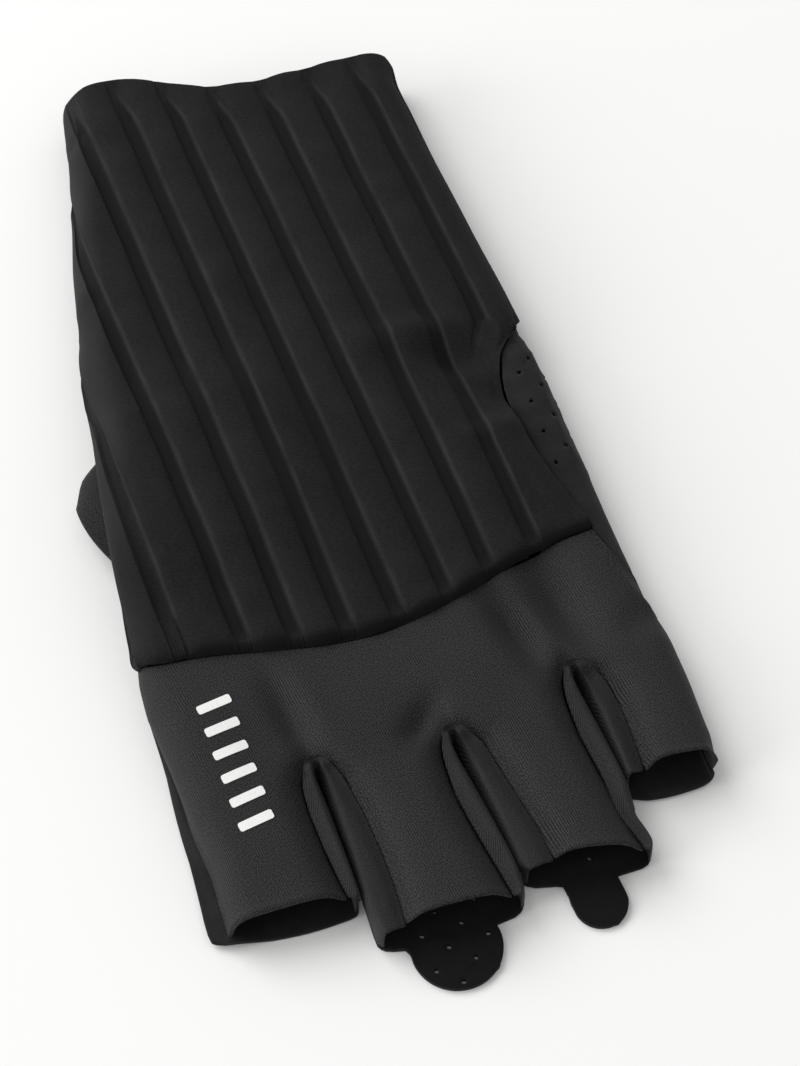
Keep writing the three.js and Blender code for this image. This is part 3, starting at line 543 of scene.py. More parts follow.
# Ribbed sleeve
sleeveCloth = dict(
    rimAngle=60, rimRound=0.7, rimSteps=2, longestEdge=6.0, smoothing=2,
    outerDepth=(1.4, 2.0),  # how deep below the skin the padded layer's outer face ends
    inland=(1.0, 5.0),  # the relief sets in over this distance from the palm
    grooveFrom=(-9, -5.2, -1.7, -1.1, 1.1, 1.7, 4.5, 9),  # places across a groove in the solid
    grooveTo=(-9, -5.2, -1.5, -1.2, 1.45, 2.1, 4.5, 9),  # and as they are pressed in
    floorLeft=(-1.6, -1.25), floorRight=(1.45, 1.8), floorRise=0.1,
    stop=(2, 7), taper=(1, 15), narrowest=0.2,  # the grooves start as points before the cuff's end
    firstGroove=1, cutGroove=9, cutGrooveY=(92, 97),  # the last one starts beyond the suede
    waver=0.12,  # how far the grooves' edges stray
    swell=0.3, swellFrom=1.7, swellReach=3.7,
    crest=0.12, crestPlace=0.3, crestTaper=1.9, crestWidth=0.4,  # a raised line on the right of each groove, also given a painted highlight
    lumps=0.14,
    indexSide=(-46, -38),  # where the front edge changes its form, across the hand
    roll=0.5, rollPlace=2.2, rollReach=2.6, rollUneven=0.5, rollInGroove=0.35,  # it swells up
    fill=1.0, runOut=2.4, firstRunOut=8.0,  # the grooves run out there, the first one sooner
    nose=2.2, noseDrop=1.2, noseTurn=1.2, noseUneven=0.35,  # and it rounds down
    frontLumps=0.2, frontLumpsFrom=(20, 7),
    notch=0.35, notchFill=0.12, notchReach=2.2,  # how unevenly it is cut
    hookX=-57.0, hook=1.6,  # the seam's hooked start, as wide as it is deep
    cutTop=(52, 91), cutTopReach=4, cutTopFrom=(3.0, 1.0), cutTopGap=0.3,  # meets the suede there
    sideX=(9, 1),  # how far in from the left edge the side's trim fades
    trimX=(-30, -22, -9, -3, 2, 10, 18, 24, 30, 36, 44, 52, 58),  # the cuff's end is longer in places
    trim=(1.0, 1.1, 1.0, 0.4, -0.2, 0, 0.5, 0.5, 1.1, 0.8, 0.5, 0.5, 1.1), trimReach=(8, 1),
    cornerOut=0.9, cornerY=(177, 186), cornerX=(48, 56),
    leftFlank=(-40, -44), rightFlank=(50, 56), flankShare=0.85,  # the floors catch the light there
    underside=(1.8, 0.9),  # painted shade on the front edge's underside
    grooveMarksFrom=(0.8, 4.5), firstLater=6,  # the darkened floors and the crests' painted highlights fade out in the front roll
    flankLightX=(2, -4), flankLightY=(50, 100), flankLightLeast=0.35,  # painted light on the index side, which faces the light, most near the cuff
    linesFade=(14, 34),
)
sleeveSpots = (  # x, y, degrees turned, reach along, reach across, rise
    (31, 97, -8, 12, 4.2, 1.7),
    (38, 87, -12, 9, 4.0, -1.7),
    (44, 75, -20, 7, 5.0, -2.4),
    (38, 65, -6, 9, 3.2, 1.3),
    (47, 91, -60, 5, 1.2, -0.8),
    (40, 36, 10, 7, 3.0, -0.8),
    (-24, 185, 30, 5, 1.2, -0.7),
    (-35, 137, 25, 6, 1.3, 0.5),
    (-33, 133, 25, 6, 1.6, -0.5),
    (-30, 157, 70, 7, 2.0, 0.4),
)


def grooveParts(pressedAt, groove, y, beforeEnd):  # 1 on the pressed floors, and on the crests
    cloth = sleeveCloth
    kept = smoothStep(*cloth["stop"], beforeEnd)
    kept = kept * np.where(groove == cloth["cutGroove"], smoothStep(*cloth["cutGrooveY"], y), 1)
    taper = np.clip(smoothStep(*cloth["taper"], beforeEnd), cloth["narrowest"], 1)
    floor = smoothStep(*cloth["floorLeft"], pressedAt / taper)
    floor = floor * (1 - smoothStep(*cloth["floorRight"], pressedAt / taper)) * kept
    fromCrest = pressedAt - cloth["crestPlace"] - cloth["crestTaper"] * taper
    return floor, bell(fromCrest / cloth["crestWidth"]) * kept


def frontEdgeRise(around, y, fromEdge, groove, floor, lump):
    cloth = sleeveCloth
    roll = cloth["roll"] * (1 + cloth["rollUneven"] * lump)
    roll = roll * bell((fromEdge - cloth["rollPlace"]) / cloth["rollReach"])
    rise = roll * (cloth["rollInGroove"] + (1 - cloth["rollInGroove"]) * (1 - floor))
    runOut = np.where(groove == cloth["firstGroove"], cloth["firstRunOut"], cloth["runOut"])
    rise += floor * cloth["fill"] * bell(np.maximum(fromEdge, 0) / runOut)
    nose = np.clip(1 - fromEdge / cloth["nose"], 0, 1)
    drop = cloth["noseDrop"] + cloth["noseTurn"] * smoothStep(*cloth["indexSide"], around)
    uneven = 1 + cloth["noseUneven"] * wander(around, y, size=5, seed=12)
    rise -= drop * (1 - np.sqrt(1 - nose * nose)) * uneven
    lumps = smoothStep(*cloth["frontLumpsFrom"], fromEdge) * wander(around, y, size=4, seed=31)
    return rise + cloth["frontLumps"] * lumps


def cutSleeveEdges(points, around, back, fromEdge, beforeEnd, floor, lump, toPalm, palmWay):
    cloth = sleeveCloth
    x, y = points[:, 0], points[:, 1]
    topX, topY = cloth["cutTop"]
    atTop = bell((x - topX) / cloth["cutTopReach"]) * bell((y - topY) / cloth["cutTopReach"])
    closing = closingTo(toPalm, cloth["cutTopGap"], cloth["cutTopFrom"])
    points += palmWay * (closing * atTop)[:, None]
    notch = cloth["notchFill"] * floor - cloth["notch"] * (1 + lump)
    notch -= cloth["hook"] * bell((around - cloth["hookX"]) / cloth["hook"])
    y += back * notch * bell(np.maximum(fromEdge, 0) / cloth["notchReach"])
    x -= sideTrim(y, "sleeve") * smoothStep(*cloth["sideX"], x - sectionAt(y)[0])
    y += np.interp(around, cloth["trimX"], cloth["trim"]) * smoothStep(*cloth["trimReach"], beforeEnd)
    x += cloth["cornerOut"] * smoothStep(*cloth["cornerY"], y) * smoothStep(*cloth["cornerX"], x)


def storeSleeveWear(piece, around, y, fromEdge, groove, pressedAt, floor, crest, outer, back):
    cloth = sleeveCloth
    flank = smoothStep(*cloth["leftFlank"], around) + smoothStep(*cloth["rightFlank"], around)
    # painted shade on the underside of the front edge
    shaded = outer * smoothStep(*cloth["underside"], fromEdge) * smoothStep(*cloth["indexSide"], around)
    later = np.where(groove == cloth["firstGroove"], cloth["firstLater"], 0)
    grooveMarksShare = smoothStep(*cloth["grooveMarksFrom"], fromEdge - later)
    # groove floors darkened partly by glaze and partly by painted shade, mostly left out on the flanks where
    # the floors catch the light
    glazeAndShade = floor * back * (1 - cloth["flankShare"] * flank) * grooveMarksShare
    left, _, height = sectionAt(y)
    # painted light on the index-side flank, which faces the light
    flankLight = smoothStep(*cloth["flankLightX"], around - left - height / 2)
    flankLight *= 0.75 + 0.35 * wander(around, y, size=11, seed=17)
    flankLight *= cloth["flankLightLeast"] + (1 - cloth["flankLightLeast"]) * smoothStep(*cloth["flankLightY"], y)
    # painted highlight on the crest right of each groove, where its bank faces the light
    crestHighlight = crest * grooveMarksShare * (0.65 + 0.35 * wander(around, y, size=5, seed=3))
    storeField(piece, "groovePlace", pressedAt)
    storeField(piece, "glazeAndShade", np.maximum(glazeAndShade, shaded))
    storeField(piece, "crest", np.clip(np.maximum(crestHighlight, flankLight * (1 - floor)) * back, 0, 1))
    storeField(piece, "lines", floor * back * (1 - smoothStep(*cloth["linesFade"], fromEdge)))


def makeRibbedSleeve():
    cloth = sleeveCloth
    piece = clothCopy("ribbedSleeve", "ribbed_sleeve", cloth)
    points = readPoints(piece)
    around, depth, outward, back = skinFrame(points)
    y = points[:, 1]  # moves with the points
    outer = back * (1 - smoothStep(*cloth["outerDepth"], depth))
    toPalm, palmWay = nearestOn(nodeTree("palm_panel"), points)
    inland = smoothStep(*cloth["inland"], toPalm)
    fromEdge = y - np.interp(around, knuckleSeam["x"], knuckleSeam["y"])
    beforeEnd = np.interp(around, cuffEnd["x"], cuffEnd["y"]) - y

    offset, groove = grooveDistance(around, y)
    pressedAt = np.interp(offset, cloth["grooveFrom"], cloth["grooveTo"])
    slide = pressedAt - offset + cloth["waver"] * wander(around, y, size=12, seed=21)
    slide += grooveShift(around, y)
    floor, crest = grooveParts(pressedAt, groove, y, beforeEnd)
    upSwell = np.clip((np.abs(offset) - cloth["swellFrom"]) / cloth["swellReach"], 0, 1)
    lump = wander(around, y, size=13, seed=4)
    rise = cloth["swell"] * np.sin(math.pi / 2 * upSwell) + cloth["crest"] * crest
    rise = (rise + cloth["floorRise"] * floor + cloth["lumps"] * lump) * inland
    rise = outer * (rise + frontEdgeRise(around, y, fromEdge, groove, floor, lump))
    rise += back * spotHeights(around, y, sleeveSpots)
    points += outward * rise[:, None] + roundTheSkin(outward) * (slide * back * inland)[:, None]
    cutSleeveEdges(points, around, back, fromEdge, beforeEnd, floor, lump, toPalm, palmWay)
    writePoints(piece, points)

    layWeave(piece, around, y)
    storeSleeveWear(piece, around, y, fromEdge, groove, pressedAt, floor, crest, outer, back)
    finishPiece(piece, "ribbed_sleeve", brushedJersey)


makeRibbedSleeve()


# Smooth panel over the knuckles and the backs of the fingers
panelCloth = dict(
    rimAngle=60, rimRound=0.45, rimSteps=2, longestEdge=4.0, smoothing=2,
    seamDip=1.1, seamReach=2.2,  # it goes down at the strips
    folds=(-27.0, 2.5, 31.5),  # where they lie across the hand
    leftDip=0.7, leftReach=2.2, leftX=(12, 9), leftY=(3, -4),  # more on each finger's left, in a groove
    flankDip=1.1, flankReach=3.6, flankX=(-12, -8),  # and more on its right, which falls away
    seamClose=0.18, closeFrom=(1.2, 0.4), sideGap=0.3, sideFrom=(3.4, 2.0),  # meets its neighbours
    hemDip=0.5, hemReach=4.0,  # at the sleeve
    endX=(-55, -31, -22, 0, 10.6, 28.4, 36, 53),  # how the finger ends run, and the lip that they have
    endY=(-25, -27.2, -36.4, -38.4, -33.6, -38.2, -21, -24.2),
    lip=0.35, lipPlace=0.6, lipWidth=0.8,
    lumps=0.12,
    littleX=(49, 52), knitX=(-46, -54),  # where the sides' trims set in
    sideX=(49, 51), endIn=0.9, endInY=(-18, -24),  # the little finger's side meets the suede at its end
    endDown=0.45, endDownY=(-8, -14), endDownFrom=(3, 0.5),
)
littleEnd = dict(  # the little finger is longer below than on its back, most of all at its corner
    y=(-14, -23), x=(31.5, 36), longer=0.8, cornerX=(42, 51), cornerLonger=0.4, lowerZ=(9.5, 6),
)
crotches = dict(
    places=((-27.0, 3.4), (1.4, 0.4), (30.6, 6.0)), rounder=0.7, below=0.8, reach=3.5, turn=0.5,
)
panelSpots = (  # as the sleeve's
    (35, 20, 96, 13, 5.2, -4.4),
    (23, 17, 98, 10, 3.6, -3.8),
    (50, 11, 30, 6, 4.0, -1.4),
    (-3.6, 3.0, 40, 6, 3.0, -2.4),
    (-28.2, 13, 97, 10, 3.2, -2.5),
    (-24, 17, 95, 8, 4.0, 0.4),
    (22, -10, 95, 14, 4.0, 0.3),
)


# Both the panel and the strips open rounder at the crotches than the straight-sided solids do
def roundCrotches(points):
    x, y = points[:, 0], points[:, 1]
    for middle, top in crotches["places"]:
        aside = x - middle
        near = bell(top - crotches["below"] - y) * bell(aside / crotches["reach"])
        x += crotches["rounder"] * near * np.tanh(aside / crotches["turn"])


def littleForward(x, y):
    longer = littleEnd["longer"] * smoothStep(*littleEnd["x"], x)
    longer += littleEnd["cornerLonger"] * smoothStep(*littleEnd["cornerX"], x)
    return smoothStep(*littleEnd["y"], y) * longer


def panelRise(points, around, toStrips):
    cloth = panelCloth
    x, y = points[:, 0], points[:, 1]
    rise = spotHeights(around, y, panelSpots) + cloth["lumps"] * wander(around, y, size=9, seed=7)
    rise -= cloth["seamDip"] * bell(toStrips / cloth["seamReach"])
    for fold in cloth["folds"]:
        aside = x - fold
        onLeft = (aside > 0) * smoothStep(*cloth["leftX"], aside) * smoothStep(*cloth["leftY"], y)
        rise -= cloth["leftDip"] * onLeft * bell(toStrips / cloth["leftReach"])
        onFlank = (aside < 0) * smoothStep(*cloth["flankX"], aside)
        rise -= cloth["flankDip"] * onFlank * bell(toStrips / cloth["flankReach"])
    hemY = np.interp(around, knuckleSeam["x"], knuckleSeam["y"])
    rise -= cloth["hemDip"] * bell((hemY - y) / cloth["hemReach"])
    fromLip = y - np.interp(x, cloth["endX"], cloth["endY"]) - cloth["lipPlace"]
    return rise + cloth["lip"] * bell(fromLip / cloth["lipWidth"])


def makeKnucklePanel():
    cloth = panelCloth
    piece = clothCopy("knucklePanel", "knuckle_panel", cloth)
    points = readPoints(piece)
    around, _, outward, back = skinFrame(points)
    y, z = points[:, 1], points[:, 2]  # move with the points
    layWeave(piece, around, y)
    strips = nodeTree("fourchette_index_middle", "fourchette_middle_ring", "fourchette_ring_little")
    toStrips, stripWay = nearestOn(strips, points)
    toPalm, palmWay = nearestOn(nodeTree("palm_panel"), points)
    points += outward * (panelRise(points, around, toStrips) * back)[:, None]
    points += stripWay * (cloth["seamClose"] * smoothStep(*cloth["closeFrom"], toStrips))[:, None]
    points += palmWay * closingTo(toPalm, cloth["sideGap"], cloth["sideFrom"])[:, None]
    x = points[:, 0].copy()
    points[:, 0] += sideTrim(y, "little") * smoothStep(*cloth["littleX"], x)
    points[:, 0] -= sideTrim(y, "knit") * smoothStep(*cloth["knitX"], x)
    y -= littleForward(x, y) * smoothStep(*littleEnd["lowerZ"], z)
    atSide = smoothStep(*cloth["sideX"], x)
    points[:, 0] -= cloth["endIn"] * smoothStep(*cloth["endInY"], y) * atSide
    atSeam = atSide * smoothStep(*cloth["endDownFrom"], toPalm)
    z -= cloth["endDown"] * smoothStep(*cloth["endDownY"], y) * atSeam
    roundCrotches(points)
    writePoints(piece, points)
    finishPiece(piece, "knuckle_panel", fineKnit)


makeKnucklePanel()


# Plain reflective bars on the index finger's side
bars = dict(
    count=6, place=(-42.6, -6.6), step=(0.1, 5.6), length=7.4, width=2.1, slant=6, cells=(12, 4),
    corner=0.5, cornerSteps=3, thickness=0.12, clear=0.05,
    laidFrom=30,  # mm up, they are laid down on the panel from there
    colour="#e6e6e4", beadColour="#d4d4d2", beadSize=0.3, beadRelief=0.02, roughness=0.5, specular=0.4,
)


# Retroreflective heat-transfer film: near white in soft light, a fine grain of glass beads
def makeReflectiveFilm():
    material, tree, shader = newMaterial("retroreflectiveFilm")
    place = addNode(tree, "ShaderNodeTexCoord").outputs["Object"]
    scale = 1 / (bars["beadSize"] * mm)
    beads = addNode(tree, "ShaderNodeTexVoronoi", {"Scale": scale}, {"Vector": place}).outputs["Distance"]
    coloured = addNode(tree, "ShaderNodeMix", {
        "data_type": "RGBA", 6: bars["colour"], 7: bars["beadColour"]}, {0: beads})
    bump = addNode(tree, "ShaderNodeBump", {"Strength": 0.3, "Distance": bars["beadRelief"] * mm},
                   {"Height": beads})
    finishShader(tree, shader, coloured.outputs[2], bump, bars)
    return material


def makeBar():
    x, y = np.array(bars["place"]) + patternShift[:2]
    cellsAlong, cellsAcross = bars["cells"]
    bpy.ops.object.select_all(action="DESELECT")
    bpy.ops.mesh.primitive_grid_add(
        x_subdivisions=cellsAlong, y_subdivisions=cellsAcross, size=1,
        location=(x * mm, y * mm, bars["laidFrom"] * mm),
        rotation=(0, 0, math.radians(bars["slant"])))
    bar = bpy.context.object
    bar.name = "reflectiveBars"
    bar.scale = (bars["length"] * mm, bars["width"] * mm, 1)
    bpy.ops.object.transform_apply(location=True, rotation=True, scale=True)
    edges = [edge.vertices for edge in bar.data.edges]
    corners = [v.index for v in bar.data.vertices if sum(v.index in ends for ends in edges) == 2]
    selectNone("VERT")
    for index in corners:
        bar.data.vertices[index].select = True
    bpy.ops.object.mode_set(mode="EDIT")
    bpy.ops.mesh.bevel(offset=bars["corner"] * mm, segments=bars["cornerSteps"], affect="VERTICES")
    bpy.ops.object.mode_set(mode="OBJECT")
    return bar


def makeReflectiveBars(panel):
    piece = makeBar()
    stepX, stepY = bars["step"]
    copies = []
    for i in range(1, bars["count"]):
        bar = piece.copy()
        bar.data = piece.data.copy()
        bar.location = (i * stepX * mm, i * stepY * mm, 0)
        bpy.context.scene.collection.objects.link(bar)
        copies.append(bar)
    selectOnly(piece)
    for bar in copies:
        bar.select_set(True)
    bpy.ops.object.join()
    applyModifier(
        piece, "SHRINKWRAP", target=panel, wrap_method="PROJECT", use_project_z=True,
        use_negative_direction=True, use_positive_direction=False, offset=bars["clear"] * mm)
    applyModifier(piece, "SOLIDIFY", thickness=bars["thickness"] * mm, offset=1)
    finishPiece(piece, None, makeReflectiveFilm())


makeReflectiveBars(bpy.data.objects["knucklePanel"])


# How the strips and the palm end
roundEnds = (  # place, radius, and on which side of its finger the corner lies
    ((-59.2, -28.4), 6.5, -1), ((-28.7, -28.6), 1.5, 1), ((-28.1, -37.7), 2.5, -1),
    ((2.9, -39.7), 3.0, 1), ((3.5, -34.5), 2.5, -1), ((30.9, -39.1), 3.0, 1), ((52.5, -28.6), 3.0, 1),
)
ringWaist = dict(depth=1.3, y=-28.5, reach=5, fromX=(23, 30), toX=(31.8, 31.2))


def roundCorners(points):
    x, y = points[:, 0], points[:, 1]
    for (cornerX, cornerY), radius, side in roundEnds:
        across = side * (x - cornerX) / radius + 1
        along = (cornerY - y) / radius + 1
        near = (across > 0) & (across < 1.2) & (along > 0)
        across, along = np.clip(across, 0, 1), np.clip(along, 0, 1)
        x -= np.where(near, side * radius * across * (1 - np.sqrt(1 - along ** 2 / 2)), 0)
        y += np.where(near, radius * along * (1 - np.sqrt(1 - across ** 2 / 2)), 0)


def drawInRing(points):  # the ring finger's side is drawn in just before its end
    x, y = points[:, 0], points[:, 1]
    near = bell((y - ringWaist["y"]) / ringWaist["reach"]) * smoothStep(*ringWaist["fromX"], x)
    x -= ringWaist["depth"] * near * smoothStep(*ringWaist["toX"], x)


# Fourchettes between the fingers, places along them are shares from the crotch to the end
fourchetteCloth = dict(
    rimAngle=60, rimRound=0.3, rimSteps=2, longestEdge=4.0, smoothing=2,
    upperZ=(3.8, 5.2), grownBy=0.07,  # the upper edges roll up, from just below the crotch
    roll=2.1, crotchRoll=1.7, crotchRollReach=0.14, leftRollPlace=1.9, rightRollPlace=3.0,
    leftDip=1.1, leftDipReach=1.5, rightDip=2.2, rightDipReach=2.1, rightDipFrom=(0.1, 0.3),
    loopFill=0.85, loopEnd=(0.10, 0.04), loopZ=(3.5, 8.0), loopBelow=0.6,  # the loop round the crotch
    leftClosed=(0.35, 0.8), rightClosed=(0.08, 0.5), closedEnd=(1.0, 0.9),  # the legs lean together
    overhang=0.55, foldClose=0.18, foldPower=6,
    foldOpen=0.45, wedge=0.2, wedgePlace=0.09, wedgeReach=0.07,  # and part below the crotch
    partFrom=(0.02, 0.06), partEnd=(0.9, 0.6), partDown=(0.55, 0.95), partZ=(4, 9),
    leftPart=0.5, rightPart=0.6,
    seamClose=0.18, closeFrom=(1.2, 0.4),
    weaveHeight=0.6,  # mm across the cloth for each mm down into the fold
)
fourchettes = {
    "fourchetteIndexMiddle": dict(
        node="fourchette_index_middle", crotch=3.4, end=-34,
        left=(-27.6, -30.0, -31.2, -31.6, -31.5, -31.2, -30.8),
        fold=(-27.0, -27.0, -26.8, -26.8, -27.2, -27.9, -28.4),
        right=(-26.4, -24.0, -22.2, -21.1, -20.9, -21.2, -22.0)),
    "fourchetteMiddleRing": dict(
        node="fourchette_middle_ring", crotch=0.4, end=-36,
        left=(0.8, -1.2, -2.1, -2.6, -1.8, -0.8, -0.1),
        fold=(1.4, 1.6, 2.0, 3.0, 3.3, 3.3, 3.2),
        right=(2.0, 4.8, 7.2, 8.5, 9.6, 10.5, 10.6)),
    "fourchetteRingLittle": dict(
        node="fourchette_ring_little", crotch=6.0, end=-32,
        left=(30.0, 28.0, 26.9, 26.4, 27.0, 27.5, 28.4),
        fold=(30.6, 31.0, 31.6, 32.1, 31.9, 31.5, 31.2),
        right=(31.2, 34.0, 36.2, 37.4, 37.1, 36.5, 35.9)),
}
stripShares = (0, 0.05, 0.15, 0.35, 0.6, 0.82, 1)


def foldStrip(piece, points, strip, panelTree):
    cloth = fourchetteCloth
    x, y, z = points.T  # move with the points
    share = np.clip((strip["crotch"] - y) / (strip["crotch"] - strip["end"]), 0, 1)
    left, fold, right = [np.interp(share, stripShares, strip[key]) for key in ("left", "fold", "right")]
    onRight = x > fold
    side = np.where(onRight, 1, -1)
    down = np.clip(1 - (x - fold) / np.where(onRight, right - fold, left - fold), 0, 1)  # 1 in the fold
    rollPlace = np.where(onRight, cloth["rightRollPlace"], cloth["leftRollPlace"])
    hump = np.sin(math.pi * down ** rollPlace) * smoothStep(*cloth["upperZ"], z)
    toPanel, panelWay = nearestOn(panelTree, points)
    layWeave(piece, np.abs(x - fold) + cloth["weaveHeight"] * z, y)

    rise = (cloth["roll"] + cloth["crotchRoll"] * bell(share / cloth["crotchRollReach"])) * hump
    deeper = onRight * smoothStep(*cloth["rightDipFrom"], share)
    dip = cloth["leftDip"] + (cloth["rightDip"] - cloth["leftDip"]) * deeper
    dipReach = cloth["leftDipReach"] + (cloth["rightDipReach"] - cloth["leftDipReach"]) * deeper
    rise -= dip * bell(toPanel / dipReach)
    z += rise * smoothStep(0, cloth["grownBy"], share)
    loop = cloth["loopFill"] * smoothStep(*cloth["loopEnd"], share) * smoothStep(*cloth["loopZ"], z)
    skinTop = sectionAt(y)[2] + reliefAt(x, y, 1.0) - cloth["loopBelow"]
    z += loop * np.maximum(skinTop - z, 0)

    closed = np.where(
        onRight, smoothStep(*cloth["rightClosed"], share), smoothStep(*cloth["leftClosed"], share))
    leaning = cloth["overhang"] * hump + cloth["foldClose"] * down ** cloth["foldPower"]
    x -= side * closed * smoothStep(*cloth["closedEnd"], share) * leaning
    part = cloth["foldOpen"] + cloth["wedge"] * bell((share - cloth["wedgePlace"]) / cloth["wedgeReach"])
    part *= smoothStep(*cloth["partEnd"], share) * smoothStep(*cloth["partFrom"], share)
    part *= smoothStep(*cloth["partDown"], down) * smoothStep(*cloth["partZ"], z)
    x += side * part * np.where(onRight, cloth["rightPart"], cloth["leftPart"])
    points += panelWay * (cloth["seamClose"] * smoothStep(*cloth["closeFrom"], toPanel))[:, None]


def makeFourchettes():
    panelTree = nodeTree("knuckle_panel")
    for name, strip in fourchettes.items():
        piece = clothCopy(name, strip["node"], fourchetteCloth)
        points = readPoints(piece)
        foldStrip(piece, points, strip, panelTree)
        roundCrotches(points)
        drawInRing(points)
        roundCorners(points)
        writePoints(piece, points)
        finishPiece(piece, strip["node"], fourchetteKnit)


makeFourchettes()


# Suede palm with its pull tabs
palmCloth = dict(
    rimAngle=60, rimRound=0.25, rimSteps=1, longestEdge=60.0, smoothing=1,
    sleeveGap=0.35, sleeveFrom=(4.0, 2.4), cutOutX=(40, 44), cutOutY=(80, 88),  # meets the sleeve there
    outsideDepth=(0.7, 0.4), litBandX=(-53, -53.5), outsideRight=(43, 46),  # where the suede takes the lighter tone: its outer face, painted light on the lit band by the index finger, and the hand's right side
    # painted light inside the glove, none at the finger ends
    upperZ=0.6, upperY=(-30, -28), insideLight=0.6, insideY=(-39, -34),  # less at the finger ends
    sideRise=44,  # how far round the side of the hand begins
    suedeX=(-50, -54.5), littleX=(49, 54), sleeveX=(9, 1),  # where the sides' trims set in
    flangeY=(22, 4), flangeX=(-47, -52), rimX=(-53.5, -56),  # the edge that stands out by the index finger
    flangeUp=1.1, flangeRimDown=0.9,
)
palmHoles = dict(
    radius=0.75, share=0.78, reach=(2.0, 1.2),  # they close up a little in the napped suede
    sideRows=((47.5, 53.0), (52.6, 57.3)), count=4, pitch=8.7, lean=0.7,
    lattice=(-14.8, -41.4), latticeStep=(4.2, 4.0), columns=range(-1, 9), rows=range(-2, 5),
)


def sideHolePlaces():
    return [(around + palmHoles["lean"] * k, first + palmHoles["pitch"] * k)
            for around, first in palmHoles["sideRows"] for k in range(palmHoles["count"])]


def latticeHolePlaces():  # at every second crossing
    (x, y), (stepX, stepY) = palmHoles["lattice"], palmHoles["latticeStep"]
    return [(x + stepX * i, y + stepY * j)
            for i in palmHoles["columns"] for j in palmHoles["rows"] if (i + j) % 2 == 0]


def narrowHoles(x, y, holes):
    for holeX, holeY in holes:
        away = np.hypot(x - holeX, y - holeY)
        share = (1 - palmHoles["share"]) * smoothStep(*palmHoles["reach"], away / palmHoles["radius"])
        x -= (x - holeX) * share
        y -= (y - holeY) * share


def makePalmPanel():
    cloth = palmCloth
    piece = clothCopy("palmPanel", "palm_panel", cloth)
    points = readPoints(piece)
    toSleeve, sleeveWay = nearestOn(nodeTree("ribbed_sleeve"), points)
    closing = closingTo(toSleeve, cloth["sleeveGap"], cloth["sleeveFrom"])
    inCutOut = smoothStep(*cloth["cutOutX"], points[:, 0]) * smoothStep(*cloth["cutOutY"], points[:, 1])
    points += sleeveWay * (closing * inCutOut)[:, None]
    around, depth, outward, _ = skinFrame(points)
    x, y, z = points.T.copy()
    # lighter outer face, with painted light on the lit band by the index finger
    outerFaceAndLight = smoothStep(*cloth["outsideDepth"], depth) + smoothStep(*cloth["litBandX"], x)
    outerFaceAndLight = np.clip(outerFaceAndLight + smoothStep(*cloth["outsideRight"], around), 0, 1)
    outerFaceAndLight = outerFaceAndLight * np.where(z > cloth["upperZ"], smoothStep(*cloth["upperY"], y), 1)
    # painted light inside the glove, all but at the finger ends and tabs
    inside = cloth["insideLight"] * smoothStep(*cloth["insideY"], y)  # a little
    storeField(piece, "outerFaceAndLight", np.maximum(outerFaceAndLight, inside))

    onSide = around > cloth["sideRise"]
    moved = np.array((around, y))
    narrowHoles(moved[0], moved[1], sideHolePlaces())
    points += roundTheSkin(outward) * np.where(onSide, moved[0] - around, 0)[:, None]
    points[:, 1] += np.where(onSide, moved[1] - y, 0)
    points[:, 0] -= sideTrim(y, "suede") * smoothStep(*cloth["suedeX"], x)
    points[:, 0] -= sideTrim(y, "sleeve") * smoothStep(*cloth["sleeveX"], x - sectionAt(y)[0])
    points[:, 0] += sideTrim(y, "little") * smoothStep(*cloth["littleX"], x)
    points[:, 1] -= littleForward(x, y)
    flange, rim = smoothStep(*cloth["flangeY"], y), smoothStep(*cloth["rimX"], x)
    points[:, 2] += flange * cloth["flangeUp"] * smoothStep(*cloth["flangeX"], x) * (1 - rim)
    points[:, 2] -= flange * cloth["flangeRimDown"] * rim
    drawInRing(points)
    narrowHoles(points[:, 0], points[:, 1], latticeHolePlaces())
    roundCorners(points)
    writePoints(piece, points)
    finishPiece(piece, "palm_panel", microfibreSuede)


makePalmPanel()


# Thumb stall, folded flat beneath the palm
thumbCloth = dict(
    rimAngle=60, rimRound=0.3, rimSteps=2, longestEdge=9.0, smoothing=2,
    mouthLine=(-51.5, 77, -0.23), nextLine=(-48.9, 78.2, -0.16),  # x at y, and the slope, of its last rows
    height=6.7, tipY=67, tipReach=20, mouthY=61, mouthReach=26,
    mouthForward=1.5, tipForward=1.0, tipOut=0.9, mouthOut=1.7, lowerIn=2.6,  # how the open end lies
)


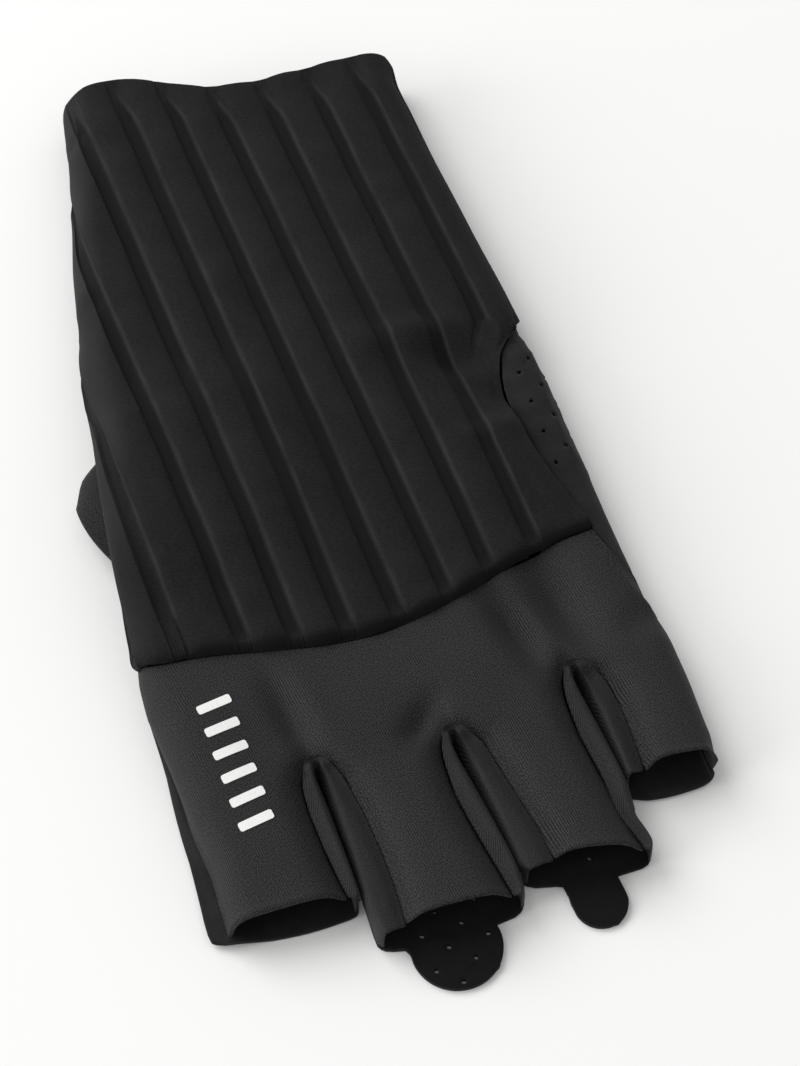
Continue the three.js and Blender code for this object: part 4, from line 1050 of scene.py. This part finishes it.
def makeThumbStall():
    cloth = thumbCloth
    piece = clothCopy("thumbStall", "thumb_stall", cloth)
    points = readPoints(piece)
    layWeave(piece, points[:, 1], points[:, 0] + points[:, 2])
    x, y, z = points.T.copy()
    mouthX, nextX = [
        lineX + slope * (y - lineY) for lineX, lineY, slope in (cloth["mouthLine"], cloth["nextLine"])]
    mouth = np.clip((nextX - x) / (nextX - mouthX), 0, 1)
    tip = np.clip((y - cloth["tipY"]) / cloth["tipReach"], 0, 1)
    rounding = np.sin(math.pi * np.clip((y - cloth["mouthY"]) / cloth["mouthReach"], 0, 1))
    outward = cloth["tipOut"] * tip + cloth["mouthOut"] * rounding
    inward = cloth["lowerIn"] * np.clip(1 - z / cloth["height"], 0, 1)  # the lower layer is tucked in
    points[:, 0] += mouth * (inward - outward)
    points[:, 1] -= mouth * (cloth["mouthForward"] + cloth["tipForward"] * tip)
    writePoints(piece, points)
    finishPiece(piece, "thumb_stall", fineKnit)


makeThumbStall()


# Floor and light
studio = dict(
    floorColour="#e9e9e8",
    floorSize=12.0,  # metres
    floorDrop=0.05,  # mm below the glove
    floorRoughness=0.9,
    fibreRelief=0.02,
    windows={  # place, disk size in metres, power
        "softbox": ((-1.45, 2.05, 2.3), 2.7, 82),
        "leftWindow": ((-3.0, 0.2, 0.8), 2.2, 64),
    },
    worldStrength=0.62,
)


def makePaperFloor():
    material, tree, shader = newMaterial("paperBackdrop")  # uncoated white paper, dull
    place = addNode(tree, "ShaderNodeTexCoord").outputs["Object"]
    fibre = addNode(tree, "ShaderNodeTexNoise", {"Scale": 600.0, "Detail": 3.0}, {"Vector": place})
    bump = addNode(tree, "ShaderNodeBump", {"Strength": 0.05, "Distance": studio["fibreRelief"] * mm},
                   {"Height": fibre.outputs["Fac"]})
    shader.inputs["Base Color"].default_value = linearColour(studio["floorColour"])
    shader.inputs["Roughness"].default_value = studio["floorRoughness"]
    tree.links.new(bump.outputs["Normal"], shader.inputs["Normal"])
    bpy.ops.object.select_all(action="DESELECT")
    bpy.ops.mesh.primitive_plane_add(size=studio["floorSize"], location=(0, 0, -studio["floorDrop"] * mm))
    floor = bpy.context.object
    floor.name = "paperFloor"
    floor.data.materials.append(material)


def addLight():
    for name, (place, size, power) in studio["windows"].items():
        bpy.ops.object.light_add(type="AREA", location=place)
        light = bpy.context.object
        light.name = name
        light.data.shape = "DISK"
        light.data.size = size
        light.data.energy = power
        light.rotation_euler = (-Vector(place)).to_track_quat("-Z", "Y").to_euler()
    world = bpy.data.worlds.new("studioWorld")
    world.use_nodes = True
    world.node_tree.nodes["Background"].inputs["Color"].default_value = (1, 1, 1, 1)
    world.node_tree.nodes["Background"].inputs["Strength"].default_value = studio["worldStrength"]
    bpy.context.scene.world = world
    bpy.context.scene.view_settings.view_transform = "Standard"


makePaperFloor()
addLight()
print("floor and light set")
